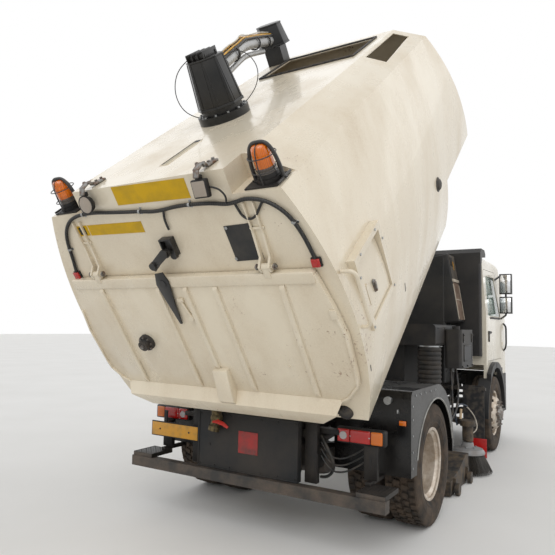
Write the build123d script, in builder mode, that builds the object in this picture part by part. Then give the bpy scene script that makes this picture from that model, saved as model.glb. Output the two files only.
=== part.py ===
from build123d import *
import os
from math import atan2, cos, degrees, hypot, radians, sin

os.makedirs("parts", exist_ok=True)

# Street sweeper truck, millimetres. +X is forward, +Y is the truck's left, +Z is up, and the
# origin is on the ground below the middle of the whole machine with its hopper tipped.

# Wheels and axles
REAR_AXLE_X = -1150
WHEELBASE = 3450
FRONT_AXLE_X = REAR_AXLE_X + WHEELBASE
TYRE_RADIUS = 507
TYRE_WIDTH = 280
TYRE_CROWN_DROP = 8
TYRE_SHOULDER = 26
RIM_RADIUS = 288
RIM_FLANGE = 14
RIM_WIDTH = 222
RIM_WALL = 9
DISC_OFFSET = 150
DISC_WALL = 12
REAR_OUTER_FACE = 1203
FRONT_OUTER_FACE = 1106
HUB_RADIUS = 118
DRUM_RADIUS = 205
SPINDLE_RADIUS = 44
RUNNING_GAP = 0.5
KINGPIN_Y = 790
KINGPIN_RADIUS = 20
KINGPIN_BOSS = 45
BOSS_HEIGHT = 110
STEER_ARM = 190
STEER_ARM_INSET = 30
SPRING_WIDTH = 70
SPRING_THICKNESS = 56
AXLE_TUBE_RADIUS = 65
TWIN_SPACING = 2 * (DISC_OFFSET + DISC_WALL)
REAR_TYRE_Y = REAR_OUTER_FACE - TYRE_WIDTH / 2
FRONT_TYRE_Y = FRONT_OUTER_FACE - TYRE_WIDTH / 2

# Chassis
RAIL_OUTER_Y = 430
RAIL_HEIGHT = 220
RAIL_FLANGE = 75
RAIL_WALL = 8
RAIL_TOP = 950
RAIL_BOTTOM = RAIL_TOP - RAIL_HEIGHT
RAIL_INNER_Y = RAIL_OUTER_Y - RAIL_FLANGE
SPRING_Y = RAIL_OUTER_Y - RAIL_FLANGE / 2
FRAME_REAR_X = REAR_AXLE_X - 1050
FRAME_FRONT_X = FRONT_AXLE_X + 900
CROSS_TUBE_RADIUS = 50
SUBFRAME_TOP = 1060
SUBFRAME_LENGTH = 2450
SUBFRAME_WIDTH = 70
BEAM_HALF_LENGTH = 1186
BEAM_TOP = 473
BEAM_HEIGHT = 85
BEAM_DEPTH = 80
BEAM_REAR_X = REAR_AXLE_X - 1150

# Tipping hopper, in its own axes: u runs forward along the floor from the bottom rear corner
# and w stands square to the floor.
TIP_ANGLE = 39.3
PIVOT_X = REAR_AXLE_X - 964
PIVOT_Z = 1023
PIVOT_U = 217
PIVOT_DROP = 177
PIVOT_PIN_RADIUS = 30
FLOOR_LENGTH = 2630
FLOOR_HALF_WIDTH = 1100
BELLY_HALF_WIDTH = 1212
BELLY_HEIGHT = 850
SHOULDER_HALF_WIDTH = 985
SHOULDER_HEIGHT = 1720
ROOF_HALF_WIDTH = 680
NOTCH_U = 320
NOTCH_Y = 650
NOTCH_W = 1720
ROOF_DROP = 80
HOPPER_HEIGHT = 1880
REAR_LEAN = 100
NOSE_LENGTH = 3740
NOSE_LEAN = 140
NOSE_UNDERSIDE = 515
HOPPER_WALL = 8
UPPER_PANEL_BOTTOM = 1190
DOOR_AXIS_OUT = 48
DOOR_AXIS_UP = 1252
RUNNER_HEIGHT = 115
RUNNER_Y = 395
RUNNER_WIDTH = 70

# Tipping cylinders
RAM_Y = 240
RAM_BASE_X = REAR_AXLE_X - 650
RAM_BASE_Z = 680
RAM_EYE_U = 700
RAM_EYE_DROP = 60
RAM_EYE_WIDTH = 56
RAM_PIN_RADIUS = 25
RAM_BARREL_RADIUS = 45
RAM_ROD_RADIUS = 28
RAM_BARREL_LENGTH = 420
RAM_ROD_LENGTH = 405

# Side brush on the truck's right
BRUSH_X = REAR_AXLE_X + 2000
BRUSH_Y = -1035
BRUSH_PIVOT_X = REAR_AXLE_X + 2420
BRUSH_PIVOT_Y = -620
BRUSH_ARM_Z = 560
BRUSH_PIN_RADIUS = 22

# Cab
CAB_HALF_WIDTH = 1065
CAB_WALL = 45
CAB_REAR_X = FRONT_AXLE_X - 400
CAB_FRONT_X = FRONT_AXLE_X + 1270
CAB_FLOOR = 1180
CAB_ROOF = 2690
FLOOR_SLAB = 40
PANEL_GAP = 6
DOOR_HINGE_X = FRONT_AXLE_X + 803
DOOR_HINGE_RADIUS = 10
DOOR_HINGE_LEVELS = (1450, 1690)
GLASS = 6
SEAT_GAP = 0.3

tip_cos = cos(radians(TIP_ANGLE))
tip_sin = sin(radians(TIP_ANGLE))
forward = Vector(tip_cos, 0, tip_sin)
upright = Vector(-tip_sin, 0, tip_cos)
corner = Vector(PIVOT_X, 0, PIVOT_Z) - forward * PIVOT_U + upright * PIVOT_DROP
# Drawing planes of the hopper: its floor (u, y), its side (u, w) and its section (y, w).
hopper_floor = Plane(origin=corner, x_dir=forward, z_dir=upright)
hopper_side = Plane(origin=corner, x_dir=forward, z_dir=(0, -1, 0))
hopper_section = Plane(origin=corner, x_dir=(0, 1, 0), z_dir=forward)
lean = Vector(REAR_LEAN, HOPPER_HEIGHT).normalized()
rear_up = forward * lean.X + upright * lean.Y
rear_out = upright * lean.X - forward * lean.Y
# The leaning rear face seen from behind: x to the truck's right, y up the face, z outward.
rear_face = Plane(origin=corner, x_dir=(0, -1, 0), z_dir=rear_out)
# The same face in side view: x outward, y up the face.
rear_side = Plane(origin=corner, x_dir=rear_out, z_dir=(0, 1, 0))

sides = (("left", 1), ("right", -1))


def save(piece, label):
    piece.part.label = label
    export_step(piece.part, f"parts/{label}.step")


def outline(*points):
    """A closed straight-sided face in the sketch being drawn."""
    Polygon(*points, align=None)


# Profiles of the wheels, drawn with x along the axle and y outward from its line
tyre_half = TYRE_WIDTH / 2
bead = RIM_WIDTH / 2 - RIM_WALL - 6
bead_radius = RIM_RADIUS + SEAT_GAP
belly_radius = (bead_radius + TYRE_RADIUS) / 2
shoulder_radius = TYRE_RADIUS - TYRE_CROWN_DROP
shoulder_x = tyre_half - TYRE_SHOULDER
with BuildSketch() as tyre_profile:
    with BuildLine():
        Polyline((-shoulder_x, shoulder_radius), (0, TYRE_RADIUS), (shoulder_x, shoulder_radius))
        ThreePointArc(
            (shoulder_x, shoulder_radius),
            (tyre_half - 11, shoulder_radius - 28),
            (tyre_half - 4, belly_radius),
        )
        Polyline(
            (tyre_half - 4, belly_radius),
            (bead + 16, bead_radius + 40),
            (bead, bead_radius),
            (-bead, bead_radius),
            (-bead - 16, bead_radius + 40),
            (4 - tyre_half, belly_radius),
        )
        ThreePointArc(
            (4 - tyre_half, belly_radius),
            (11 - tyre_half, shoulder_radius - 28),
            (-shoulder_x, shoulder_radius),
        )
    make_face()

# Rim: a barrel with two flanges and a dished disc that stands out on its +x side
rim_half = RIM_WIDTH / 2
rim_face = DISC_OFFSET + DISC_WALL
rim_inside = RIM_RADIUS - RIM_WALL
rim_flange = RIM_RADIUS + RIM_FLANGE
with BuildSketch() as rim_profile:
    outline(
        (-rim_half, rim_flange),
        (RIM_WALL - rim_half, rim_flange),
        (RIM_WALL - rim_half, RIM_RADIUS),
        (rim_half - RIM_WALL, RIM_RADIUS),
        (rim_half - RIM_WALL, rim_flange),
        (rim_half, rim_flange),
        (rim_half, rim_inside),
        (rim_face, HUB_RADIUS + 80),
        (rim_face, HUB_RADIUS - 10),
        (DISC_OFFSET, HUB_RADIUS - 10),
        (DISC_OFFSET, HUB_RADIUS + 72),
        (rim_half - 2 * RIM_WALL, rim_inside),
        (-rim_half, rim_inside),
    )


def hub_points(drum_length, nose):
    """Hub and brake drum about the disc's face at x = 0."""
    bore = SPINDLE_RADIUS + RUNNING_GAP
    return (
        (-drum_length, bore),
        (-drum_length, DRUM_RADIUS),
        (-20, DRUM_RADIUS),
        (-12, HUB_RADIUS),
        (nose * 0.3, HUB_RADIUS),
        (nose * 0.75, HUB_RADIUS - 26),
        (nose - 4, 70),
        (nose, 60),
        (nose, 0),
        (nose - 60, 0),
        (nose - 60, bore),
    )


def axle_plane(centre_x, centre_y, facing):
    """x along the axle toward `facing`, y up."""
    return Plane(origin=(centre_x, centre_y, TYRE_RADIUS), x_dir=(0, facing, 0), z_dir=(facing, 0, 0))


rear_disc_y = REAR_TYRE_Y - TWIN_SPACING / 2
rear_inner_y = REAR_TYRE_Y - TWIN_SPACING
front_disc_y = FRONT_TYRE_Y + DISC_OFFSET
FRONT_DRUM = 130
FRONT_NOSE = 70
REAR_DRUM = 230
REAR_NOSE = 125
front_axis = Axis((FRONT_AXLE_X, 0, TYRE_RADIUS), (0, 1, 0))
rear_axis = Axis((REAR_AXLE_X, 0, TYRE_RADIUS), (0, 1, 0))
for name, side in sides:
    with BuildPart() as front_tyre:
        with BuildSketch(axle_plane(FRONT_AXLE_X, side * FRONT_TYRE_Y, side)):
            add(tyre_profile.sketch)
        revolve(axis=front_axis)
    save(front_tyre, f"tyre_front_{name}")
    with BuildPart() as front_rim:
        with BuildSketch(axle_plane(FRONT_AXLE_X, side * FRONT_TYRE_Y, side)):
            add(rim_profile.sketch)
        with BuildSketch(axle_plane(FRONT_AXLE_X, side * front_disc_y, side)):
            outline(*hub_points(FRONT_DRUM, FRONT_NOSE))
        revolve(axis=front_axis)
    save(front_rim, f"rim_front_{name}")
    with BuildPart() as rear_tyres:
        with BuildSketch(axle_plane(REAR_AXLE_X, side * REAR_TYRE_Y, side)):
            add(tyre_profile.sketch)
        with BuildSketch(axle_plane(REAR_AXLE_X, side * rear_inner_y, side)):
            add(tyre_profile.sketch)
        revolve(axis=rear_axis)
    save(rear_tyres, f"tyres_rear_{name}")
    # The outer rim is dished inward and the inner one outward, so their discs meet.
    with BuildPart() as rear_rims:
        with BuildSketch(axle_plane(REAR_AXLE_X, side * REAR_TYRE_Y, -side)):
            add(rim_profile.sketch)
        with BuildSketch(axle_plane(REAR_AXLE_X, side * rear_inner_y, side)):
            add(rim_profile.sketch)
        with BuildSketch(axle_plane(REAR_AXLE_X, side * rear_disc_y, side)):
            outline(*hub_points(REAR_DRUM, REAR_NOSE))
        revolve(axis=rear_axis)
    save(rear_rims, f"rims_rear_{name}")

# Leaf springs: three leaves, each shorter than the one above, bent up to their shackles.
# The profile has the axle at x = 0 and the spring's seat at y = 0.
SPRING_LEAVES = ((700, 92), (520, 50), (340, 22))  # (half length, rise at the end)
leaf = SPRING_THICKNESS / len(SPRING_LEAVES)
with BuildSketch() as spring_profile:
    for rank, (reach, rise) in enumerate(SPRING_LEAVES):
        low = SPRING_THICKNESS - (rank + 1) * leaf
        high = low + leaf
        with BuildLine():
            ThreePointArc((-reach, low + rise), (0, low), (reach, low + rise))
            Line((reach, low + rise), (reach, high + rise))
            ThreePointArc((reach, high + rise), (0, high), (-reach, high + rise))
            Line((-reach, high + rise), (-reach, low + rise))
        make_face()
spring_plane = Plane.XZ.offset(-SPRING_Y - SPRING_WIDTH / 2)
shackle_reach = SPRING_LEAVES[0][0] - 24
shackle_rise = SPRING_THICKNESS + SPRING_LEAVES[0][1] - 14

# Rear axle: tube, round differential case, spindles and its springs
REAR_SPRING_SEAT = TYRE_RADIUS + AXLE_TUBE_RADIUS - 6
DIFF_RADIUS = 175
with BuildPart() as rear_axle:
    with BuildSketch(Plane(origin=(REAR_AXLE_X, 0, TYRE_RADIUS), x_dir=(0, 1, 0), z_dir=(1, 0, 0))):
        drum_in = rear_disc_y - REAR_DRUM - 6
        outline(
            (0, 0),
            (0, DIFF_RADIUS),
            (70, DIFF_RADIUS - 12),
            (150, AXLE_TUBE_RADIUS + 20),
            (220, AXLE_TUBE_RADIUS),
            (drum_in, AXLE_TUBE_RADIUS),
            (drum_in, SPINDLE_RADIUS),
            (rear_disc_y + REAR_NOSE - 62, SPINDLE_RADIUS),
            (rear_disc_y + REAR_NOSE - 62, 0),
        )
    revolve(axis=rear_axis)
    with Locations((REAR_AXLE_X, SPRING_Y, REAR_SPRING_SEAT + SPRING_THICKNESS / 2)):
        Box(110, SPRING_WIDTH + 24, SPRING_THICKNESS + 24)
    with BuildSketch(spring_plane):
        add(spring_profile.sketch.moved(Location((REAR_AXLE_X, REAR_SPRING_SEAT))))
        shackle_foot = REAR_SPRING_SEAT + shackle_rise
        for end in (-1, 1):
            with Locations((REAR_AXLE_X + end * shackle_reach, (shackle_foot + RAIL_BOTTOM) / 2)):
                Rectangle(46, RAIL_BOTTOM - shackle_foot)
    extrude(amount=SPRING_WIDTH)
    mirror(about=Plane.XZ)
save(rear_axle, "rear_axle")

# Front axle: a dropped beam between two bosses for the kingpins, and its springs
BEAM_AXLE_DEPTH = 90
BEAM_AXLE_HEIGHT = 100
FRONT_SPRING_SEAT = 520
with BuildPart() as front_axle:
    with BuildSketch(Plane.YZ.offset(FRONT_AXLE_X - BEAM_AXLE_DEPTH / 2)):
        outline(
            (0, FRONT_SPRING_SEAT - BEAM_AXLE_HEIGHT),
            (480, FRONT_SPRING_SEAT - BEAM_AXLE_HEIGHT),
            (640, TYRE_RADIUS - 40),
            (KINGPIN_Y, TYRE_RADIUS - 40),
            (KINGPIN_Y, TYRE_RADIUS + 40),
            (620, TYRE_RADIUS + 40),
            (470, FRONT_SPRING_SEAT),
            (0, FRONT_SPRING_SEAT),
        )
    extrude(amount=BEAM_AXLE_DEPTH)
    with BuildSketch(Plane.XY.offset(TYRE_RADIUS - BOSS_HEIGHT / 2)):
        with Locations((FRONT_AXLE_X, KINGPIN_Y)):
            Circle(KINGPIN_BOSS)
    extrude(amount=BOSS_HEIGHT)
    with BuildSketch(Plane.XY.offset(TYRE_RADIUS - BOSS_HEIGHT / 2)):
        with Locations((FRONT_AXLE_X, KINGPIN_Y)):
            Circle(KINGPIN_RADIUS + RUNNING_GAP)
    extrude(amount=BOSS_HEIGHT, mode=Mode.SUBTRACT)
    with Locations((FRONT_AXLE_X, SPRING_Y, FRONT_SPRING_SEAT + SPRING_THICKNESS / 2)):
        Box(110, SPRING_WIDTH + 24, SPRING_THICKNESS + 24)
    with BuildSketch(spring_plane):
        add(spring_profile.sketch.moved(Location((FRONT_AXLE_X, FRONT_SPRING_SEAT))))
        shackle_foot = FRONT_SPRING_SEAT + shackle_rise
        for end in (-1, 1):
            with Locations((FRONT_AXLE_X + end * shackle_reach, (shackle_foot + RAIL_BOTTOM) / 2)):
                Rectangle(46, RAIL_BOTTOM - shackle_foot)
    extrude(amount=SPRING_WIDTH)
    mirror(about=Plane.XZ)
save(front_axle, "front_axle")

# Steering knuckles: a fork round the beam's boss, its kingpin, the spindle and a steering arm
EAR = 36
fork_in = KINGPIN_Y + KINGPIN_BOSS + 6
arm_top = TYRE_RADIUS - BOSS_HEIGHT / 2 - RUNNING_GAP - EAR / 2
ARM_THICKNESS = 18
ARM_EYE_RADIUS = 24
for name, side in sides:
    with BuildPart() as knuckle:
        for level in (-1, 1):
            ear_z = TYRE_RADIUS + level * (BOSS_HEIGHT / 2 + RUNNING_GAP + EAR / 2) - EAR / 2
            with BuildSketch(Plane.XY.offset(ear_z)):
                with Locations((FRONT_AXLE_X, side * KINGPIN_Y)):
                    Circle(KINGPIN_BOSS)
                with Locations((FRONT_AXLE_X, side * (KINGPIN_Y + fork_in + 60) / 2)):
                    Rectangle(2 * KINGPIN_BOSS, fork_in + 60 - KINGPIN_Y)
            extrude(amount=EAR)
        fork_height = BOSS_HEIGHT + 2 * EAR + 2 * RUNNING_GAP
        with BuildSketch(Plane.XY.offset(TYRE_RADIUS - fork_height / 2)):
            with Locations((FRONT_AXLE_X, side * (fork_in + 30))):
                Rectangle(2 * KINGPIN_BOSS, 60)
        extrude(amount=fork_height)
        with BuildSketch(Plane.XY.offset(TYRE_RADIUS - fork_height / 2)):
            with Locations((FRONT_AXLE_X, side * KINGPIN_Y)):
                Circle(KINGPIN_RADIUS)
        extrude(amount=fork_height)
        spindle_tip = front_disc_y + FRONT_NOSE - 62
        with BuildSketch(Plane.XZ.offset(-side * fork_in)):
            with Locations((FRONT_AXLE_X, TYRE_RADIUS)):
                Circle(SPINDLE_RADIUS)
        extrude(amount=-side * (spindle_tip - fork_in))
        with BuildSketch(Plane.XY.offset(arm_top - ARM_THICKNESS)):
            arm_end = (FRONT_AXLE_X - STEER_ARM, side * (KINGPIN_Y - STEER_ARM_INSET))
            outline(
                (FRONT_AXLE_X + 20, side * (KINGPIN_Y - 34)),
                (FRONT_AXLE_X - STEER_ARM, side * (KINGPIN_Y - STEER_ARM_INSET - 22)),
                (FRONT_AXLE_X - STEER_ARM, side * (KINGPIN_Y - STEER_ARM_INSET + 22)),
                (FRONT_AXLE_X + 20, side * (KINGPIN_Y + 34)),
            )
            with Locations(arm_end):
                Circle(ARM_EYE_RADIUS)
        extrude(amount=ARM_THICKNESS)
    save(knuckle, f"knuckle_{name}")

# Track rod: a tube with a ball joint under the end of each steering arm
ROD_JOINT_HEIGHT = 40
rod_y = KINGPIN_Y - STEER_ARM_INSET
rod_joint_top = arm_top - ARM_THICKNESS - SEAT_GAP
with BuildPart() as track_rod:
    with BuildSketch(Plane.XY.offset(rod_joint_top - ROD_JOINT_HEIGHT)):
        with Locations((FRONT_AXLE_X - STEER_ARM, rod_y), (FRONT_AXLE_X - STEER_ARM, -rod_y)):
            Circle(ARM_EYE_RADIUS - 2)
    extrude(amount=ROD_JOINT_HEIGHT)
    with BuildSketch(Plane.XZ.offset(-rod_y)):
        with Locations((FRONT_AXLE_X - STEER_ARM, rod_joint_top - ROD_JOINT_HEIGHT / 2)):
            Circle(16)
    extrude(amount=2 * rod_y)
save(track_rod, "track_rod")

# Chassis frame: channel rails, round cross members, the hopper's sub-frame and its hinge brackets
BRACKET_PLATE = 16
BRACKET_OFFSETS = (18, 96)  # distance of each hinge plate outside the rail
with BuildPart() as frame:
    with BuildSketch(Plane.YZ.offset(FRAME_REAR_X)):
        outline(
            (RAIL_OUTER_Y, RAIL_BOTTOM),
            (RAIL_OUTER_Y, RAIL_TOP),
            (RAIL_INNER_Y, RAIL_TOP),
            (RAIL_INNER_Y, RAIL_TOP - RAIL_WALL),
            (RAIL_OUTER_Y - RAIL_WALL, RAIL_TOP - RAIL_WALL),
            (RAIL_OUTER_Y - RAIL_WALL, RAIL_BOTTOM + RAIL_WALL),
            (RAIL_INNER_Y, RAIL_BOTTOM + RAIL_WALL),
            (RAIL_INNER_Y, RAIL_BOTTOM),
        )
    extrude(amount=FRAME_FRONT_X - FRAME_REAR_X)
    with BuildSketch(Plane.XY.offset(RAIL_TOP)):
        with Locations((FRAME_REAR_X + SUBFRAME_LENGTH / 2, RUNNER_Y)):
            Rectangle(SUBFRAME_LENGTH, SUBFRAME_WIDTH)
    extrude(amount=SUBFRAME_TOP - RAIL_TOP)
    for offset_out in BRACKET_OFFSETS:
        with BuildSketch(Plane.XZ.offset(-RAIL_OUTER_Y - offset_out - BRACKET_PLATE)):
            outline(
                (PIVOT_X - 60, RAIL_BOTTOM + 60),
                (PIVOT_X + 130, RAIL_BOTTOM + 60),
                (PIVOT_X + 55, PIVOT_Z + 30),
                (PIVOT_X + 25, PIVOT_Z + 52),
                (PIVOT_X - 25, PIVOT_Z + 52),
                (PIVOT_X - 55, PIVOT_Z + 30),
            )
            with Locations((PIVOT_X, PIVOT_Z)):
                Circle(PIVOT_PIN_RADIUS + RUNNING_GAP, mode=Mode.SUBTRACT)
        extrude(amount=BRACKET_PLATE)
    bracket_reach = BRACKET_OFFSETS[-1] + BRACKET_PLATE
    with Locations((PIVOT_X + 35, RAIL_OUTER_Y + bracket_reach / 2, RAIL_BOTTOM + 100)):
        Box(150, bracket_reach, 60)
    mirror(about=Plane.XZ)
    for x in (FRAME_REAR_X + 60, REAR_AXLE_X - 330, REAR_AXLE_X + 250, REAR_AXLE_X + 1500, FRAME_FRONT_X - 70):
        with BuildSketch(Plane.XZ.offset(-RAIL_OUTER_Y + RAIL_WALL / 2)):
            with Locations((x, (RAIL_BOTTOM + RAIL_TOP) / 2)):
                Circle(CROSS_TUBE_RADIUS)
        extrude(amount=2 * RAIL_OUTER_Y - RAIL_WALL)
    # Cross beam and lugs for the feet of the tipping cylinders
    with Locations((RAM_BASE_X - 110, 0, RAM_BASE_Z + 60)):
        Box(70, 2 * RAIL_OUTER_Y - RAIL_WALL, 100)
    for middle in (-RAM_Y, RAM_Y):
        for end in (-1, 1):
            with BuildSketch(Plane.XZ.offset(-middle - end * (RAM_EYE_WIDTH / 2 + 9) - 7)):
                outline(
                    (RAM_BASE_X - 100, RAM_BASE_Z + 12),
                    (RAM_BASE_X - 100, RAM_BASE_Z + 106),
                    (RAM_BASE_X - 20, RAM_BASE_Z + 40),
                    (RAM_BASE_X + 26, RAM_BASE_Z + 34),
                    (RAM_BASE_X + 42, RAM_BASE_Z),
                    (RAM_BASE_X, RAM_BASE_Z - 42),
                )
                with Locations((RAM_BASE_X, RAM_BASE_Z)):
                    Circle(RAM_PIN_RADIUS + RUNNING_GAP, mode=Mode.SUBTRACT)
            extrude(amount=14)
    # Bracket and pin that carry the side brush's arm on the right rail
    with Locations((BRUSH_PIVOT_X, -(RAIL_OUTER_Y - 4 - BRUSH_PIVOT_Y + 50) / 2, BRUSH_ARM_Z + 210)):
        Box(90, -BRUSH_PIVOT_Y - RAIL_OUTER_Y + 54, 60)
    with Locations((BRUSH_PIVOT_X, BRUSH_PIVOT_Y, BRUSH_ARM_Z + 65)):
        Cylinder(BRUSH_PIN_RADIUS, 290)
save(frame, "chassis_frame")

# Engine and gearbox under the cab as plain masses, with the propeller shaft back to the axle
ENGINE_REAR_X = FRONT_AXLE_X - 420
ENGINE_LENGTH = 1160
ENGINE_BOTTOM = 640
PROP_RADIUS = 45
with BuildPart() as drive_line:
    with Locations((ENGINE_REAR_X + ENGINE_LENGTH / 2, 0, (ENGINE_BOTTOM + CAB_FLOOR - 60) / 2)):
        Box(ENGINE_LENGTH, 640, CAB_FLOOR - 60 - ENGINE_BOTTOM)
    with BuildSketch(Plane.YZ.offset(ENGINE_REAR_X)):
        with Locations((0, 750)):
            Circle(168)
    with BuildSketch(Plane.YZ.offset(ENGINE_REAR_X - 640)):
        with Locations((0, 745)):
            Circle(110)
    loft()
    prop_start = Vector(ENGINE_REAR_X - 630, 0, 740)
    prop_end = Vector(REAR_AXLE_X + DIFF_RADIUS - 8, 0, TYRE_RADIUS + 20)
    with BuildSketch(Plane(origin=prop_start, x_dir=(0, 1, 0), z_dir=prop_end - prop_start)):
        Circle(PROP_RADIUS)
    extrude(amount=(prop_end - prop_start).length - 7.5)
save(drive_line, "drive_line")

# Fuel tank on the left rail, a rounded box on two straps
TANK_LENGTH = 1050
TANK_X = REAR_AXLE_X + 1320
with BuildPart() as fuel_tank:
    with BuildSketch(Plane.YZ.offset(TANK_X)):
        with Locations((RAIL_OUTER_Y + 60 + 270, 690)):
            RectangleRounded(540, 480, 90)
    extrude(amount=TANK_LENGTH)
    for x in (TANK_X + 180, TANK_X + TANK_LENGTH - 180):
        with Locations((x, RAIL_OUTER_Y + 80, 790)):
            Box(60, 160, 200)
    with BuildSketch(Plane.XZ.offset(-RAIL_OUTER_Y - 470)):
        with Locations((TANK_X + 150, 930)):
            Circle(50)
    extrude(amount=80)
save(fuel_tank, "fuel_tank")

# Rear underrun beam on two posts, with tread-plate steps on its ends
POST_Y = 800
STEP_LENGTH = 270
STEP_WIDTH = 215
with BuildPart() as underrun_beam:
    beam_x = BEAM_REAR_X + BEAM_DEPTH / 2
    with Locations((beam_x, 0, BEAM_TOP - BEAM_HEIGHT / 2)):
        Box(BEAM_DEPTH, 2 * BEAM_HALF_LENGTH, BEAM_HEIGHT)
    with BuildSketch(Plane.XZ.offset(-RAIL_OUTER_Y + 10)):
        outline(
            (BEAM_REAR_X + BEAM_DEPTH - 4, BEAM_TOP),
            (BEAM_REAR_X + BEAM_DEPTH - 4, BEAM_TOP - BEAM_HEIGHT),
            (BEAM_REAR_X + BEAM_DEPTH + 60, BEAM_TOP - BEAM_HEIGHT),
            (FRAME_REAR_X + 235, RAIL_BOTTOM - SEAT_GAP),
            (FRAME_REAR_X + 60, RAIL_BOTTOM - SEAT_GAP),
            (FRAME_REAR_X + 8, BEAM_TOP),
        )
    extrude(amount=40)
    with Locations((BEAM_REAR_X + STEP_LENGTH / 2 + 12, BEAM_HALF_LENGTH - STEP_WIDTH / 2 - 6, BEAM_TOP + 15)):
        Box(STEP_LENGTH, STEP_WIDTH, 30)
    mirror(about=Plane.XZ)
save(underrun_beam, "underrun_beam")

# Rear valance: a plain steel box between the lamps
VALANCE_HALF_WIDTH = 480
VALANCE_BOTTOM = 478
VALANCE_TOP = 930
VALANCE_REAR_X = REAR_AXLE_X - 1100
VALANCE_WALL = 6
with BuildPart() as valance:
    with BuildSketch(Plane.XY.offset(VALANCE_BOTTOM)):
        depth = FRAME_REAR_X - VALANCE_REAR_X
        with Locations(((FRAME_REAR_X + VALANCE_REAR_X) / 2, 0)):
            Rectangle(depth, 2 * VALANCE_HALF_WIDTH)
            Rectangle(depth - 2 * VALANCE_WALL, 2 * (VALANCE_HALF_WIDTH - VALANCE_WALL), mode=Mode.SUBTRACT)
    extrude(amount=VALANCE_TOP - VALANCE_BOTTOM)
save(valance, "rear_valance")

# Tail lamp clusters on their brackets, and the bar that carries them from the frame
LAMP_X = REAR_AXLE_X - 950
LAMP_Y = 915
LAMP_Z = 845
LAMP_LENGTH = 380
LAMP_HEIGHT = 113
LAMP_DEPTH = 70
with BuildPart() as lamps:
    with BuildSketch(Plane.YZ.offset(LAMP_X)):
        with Locations((LAMP_Y, LAMP_Z)):
            RectangleRounded(LAMP_LENGTH, LAMP_HEIGHT, 24)
    extrude(amount=LAMP_DEPTH)
    with BuildSketch(Plane.YZ.offset(LAMP_X)):
        for place in (-2, -1, 0, 1, 2):
            with Locations((LAMP_Y + place * LAMP_LENGTH / 5.2, LAMP_Z)):
                RectangleRounded(LAMP_LENGTH / 5.8, LAMP_HEIGHT - 22, 16)
    extrude(amount=-8)
    mirror(about=Plane.XZ)
save(lamps, "tail_lamps")

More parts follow.
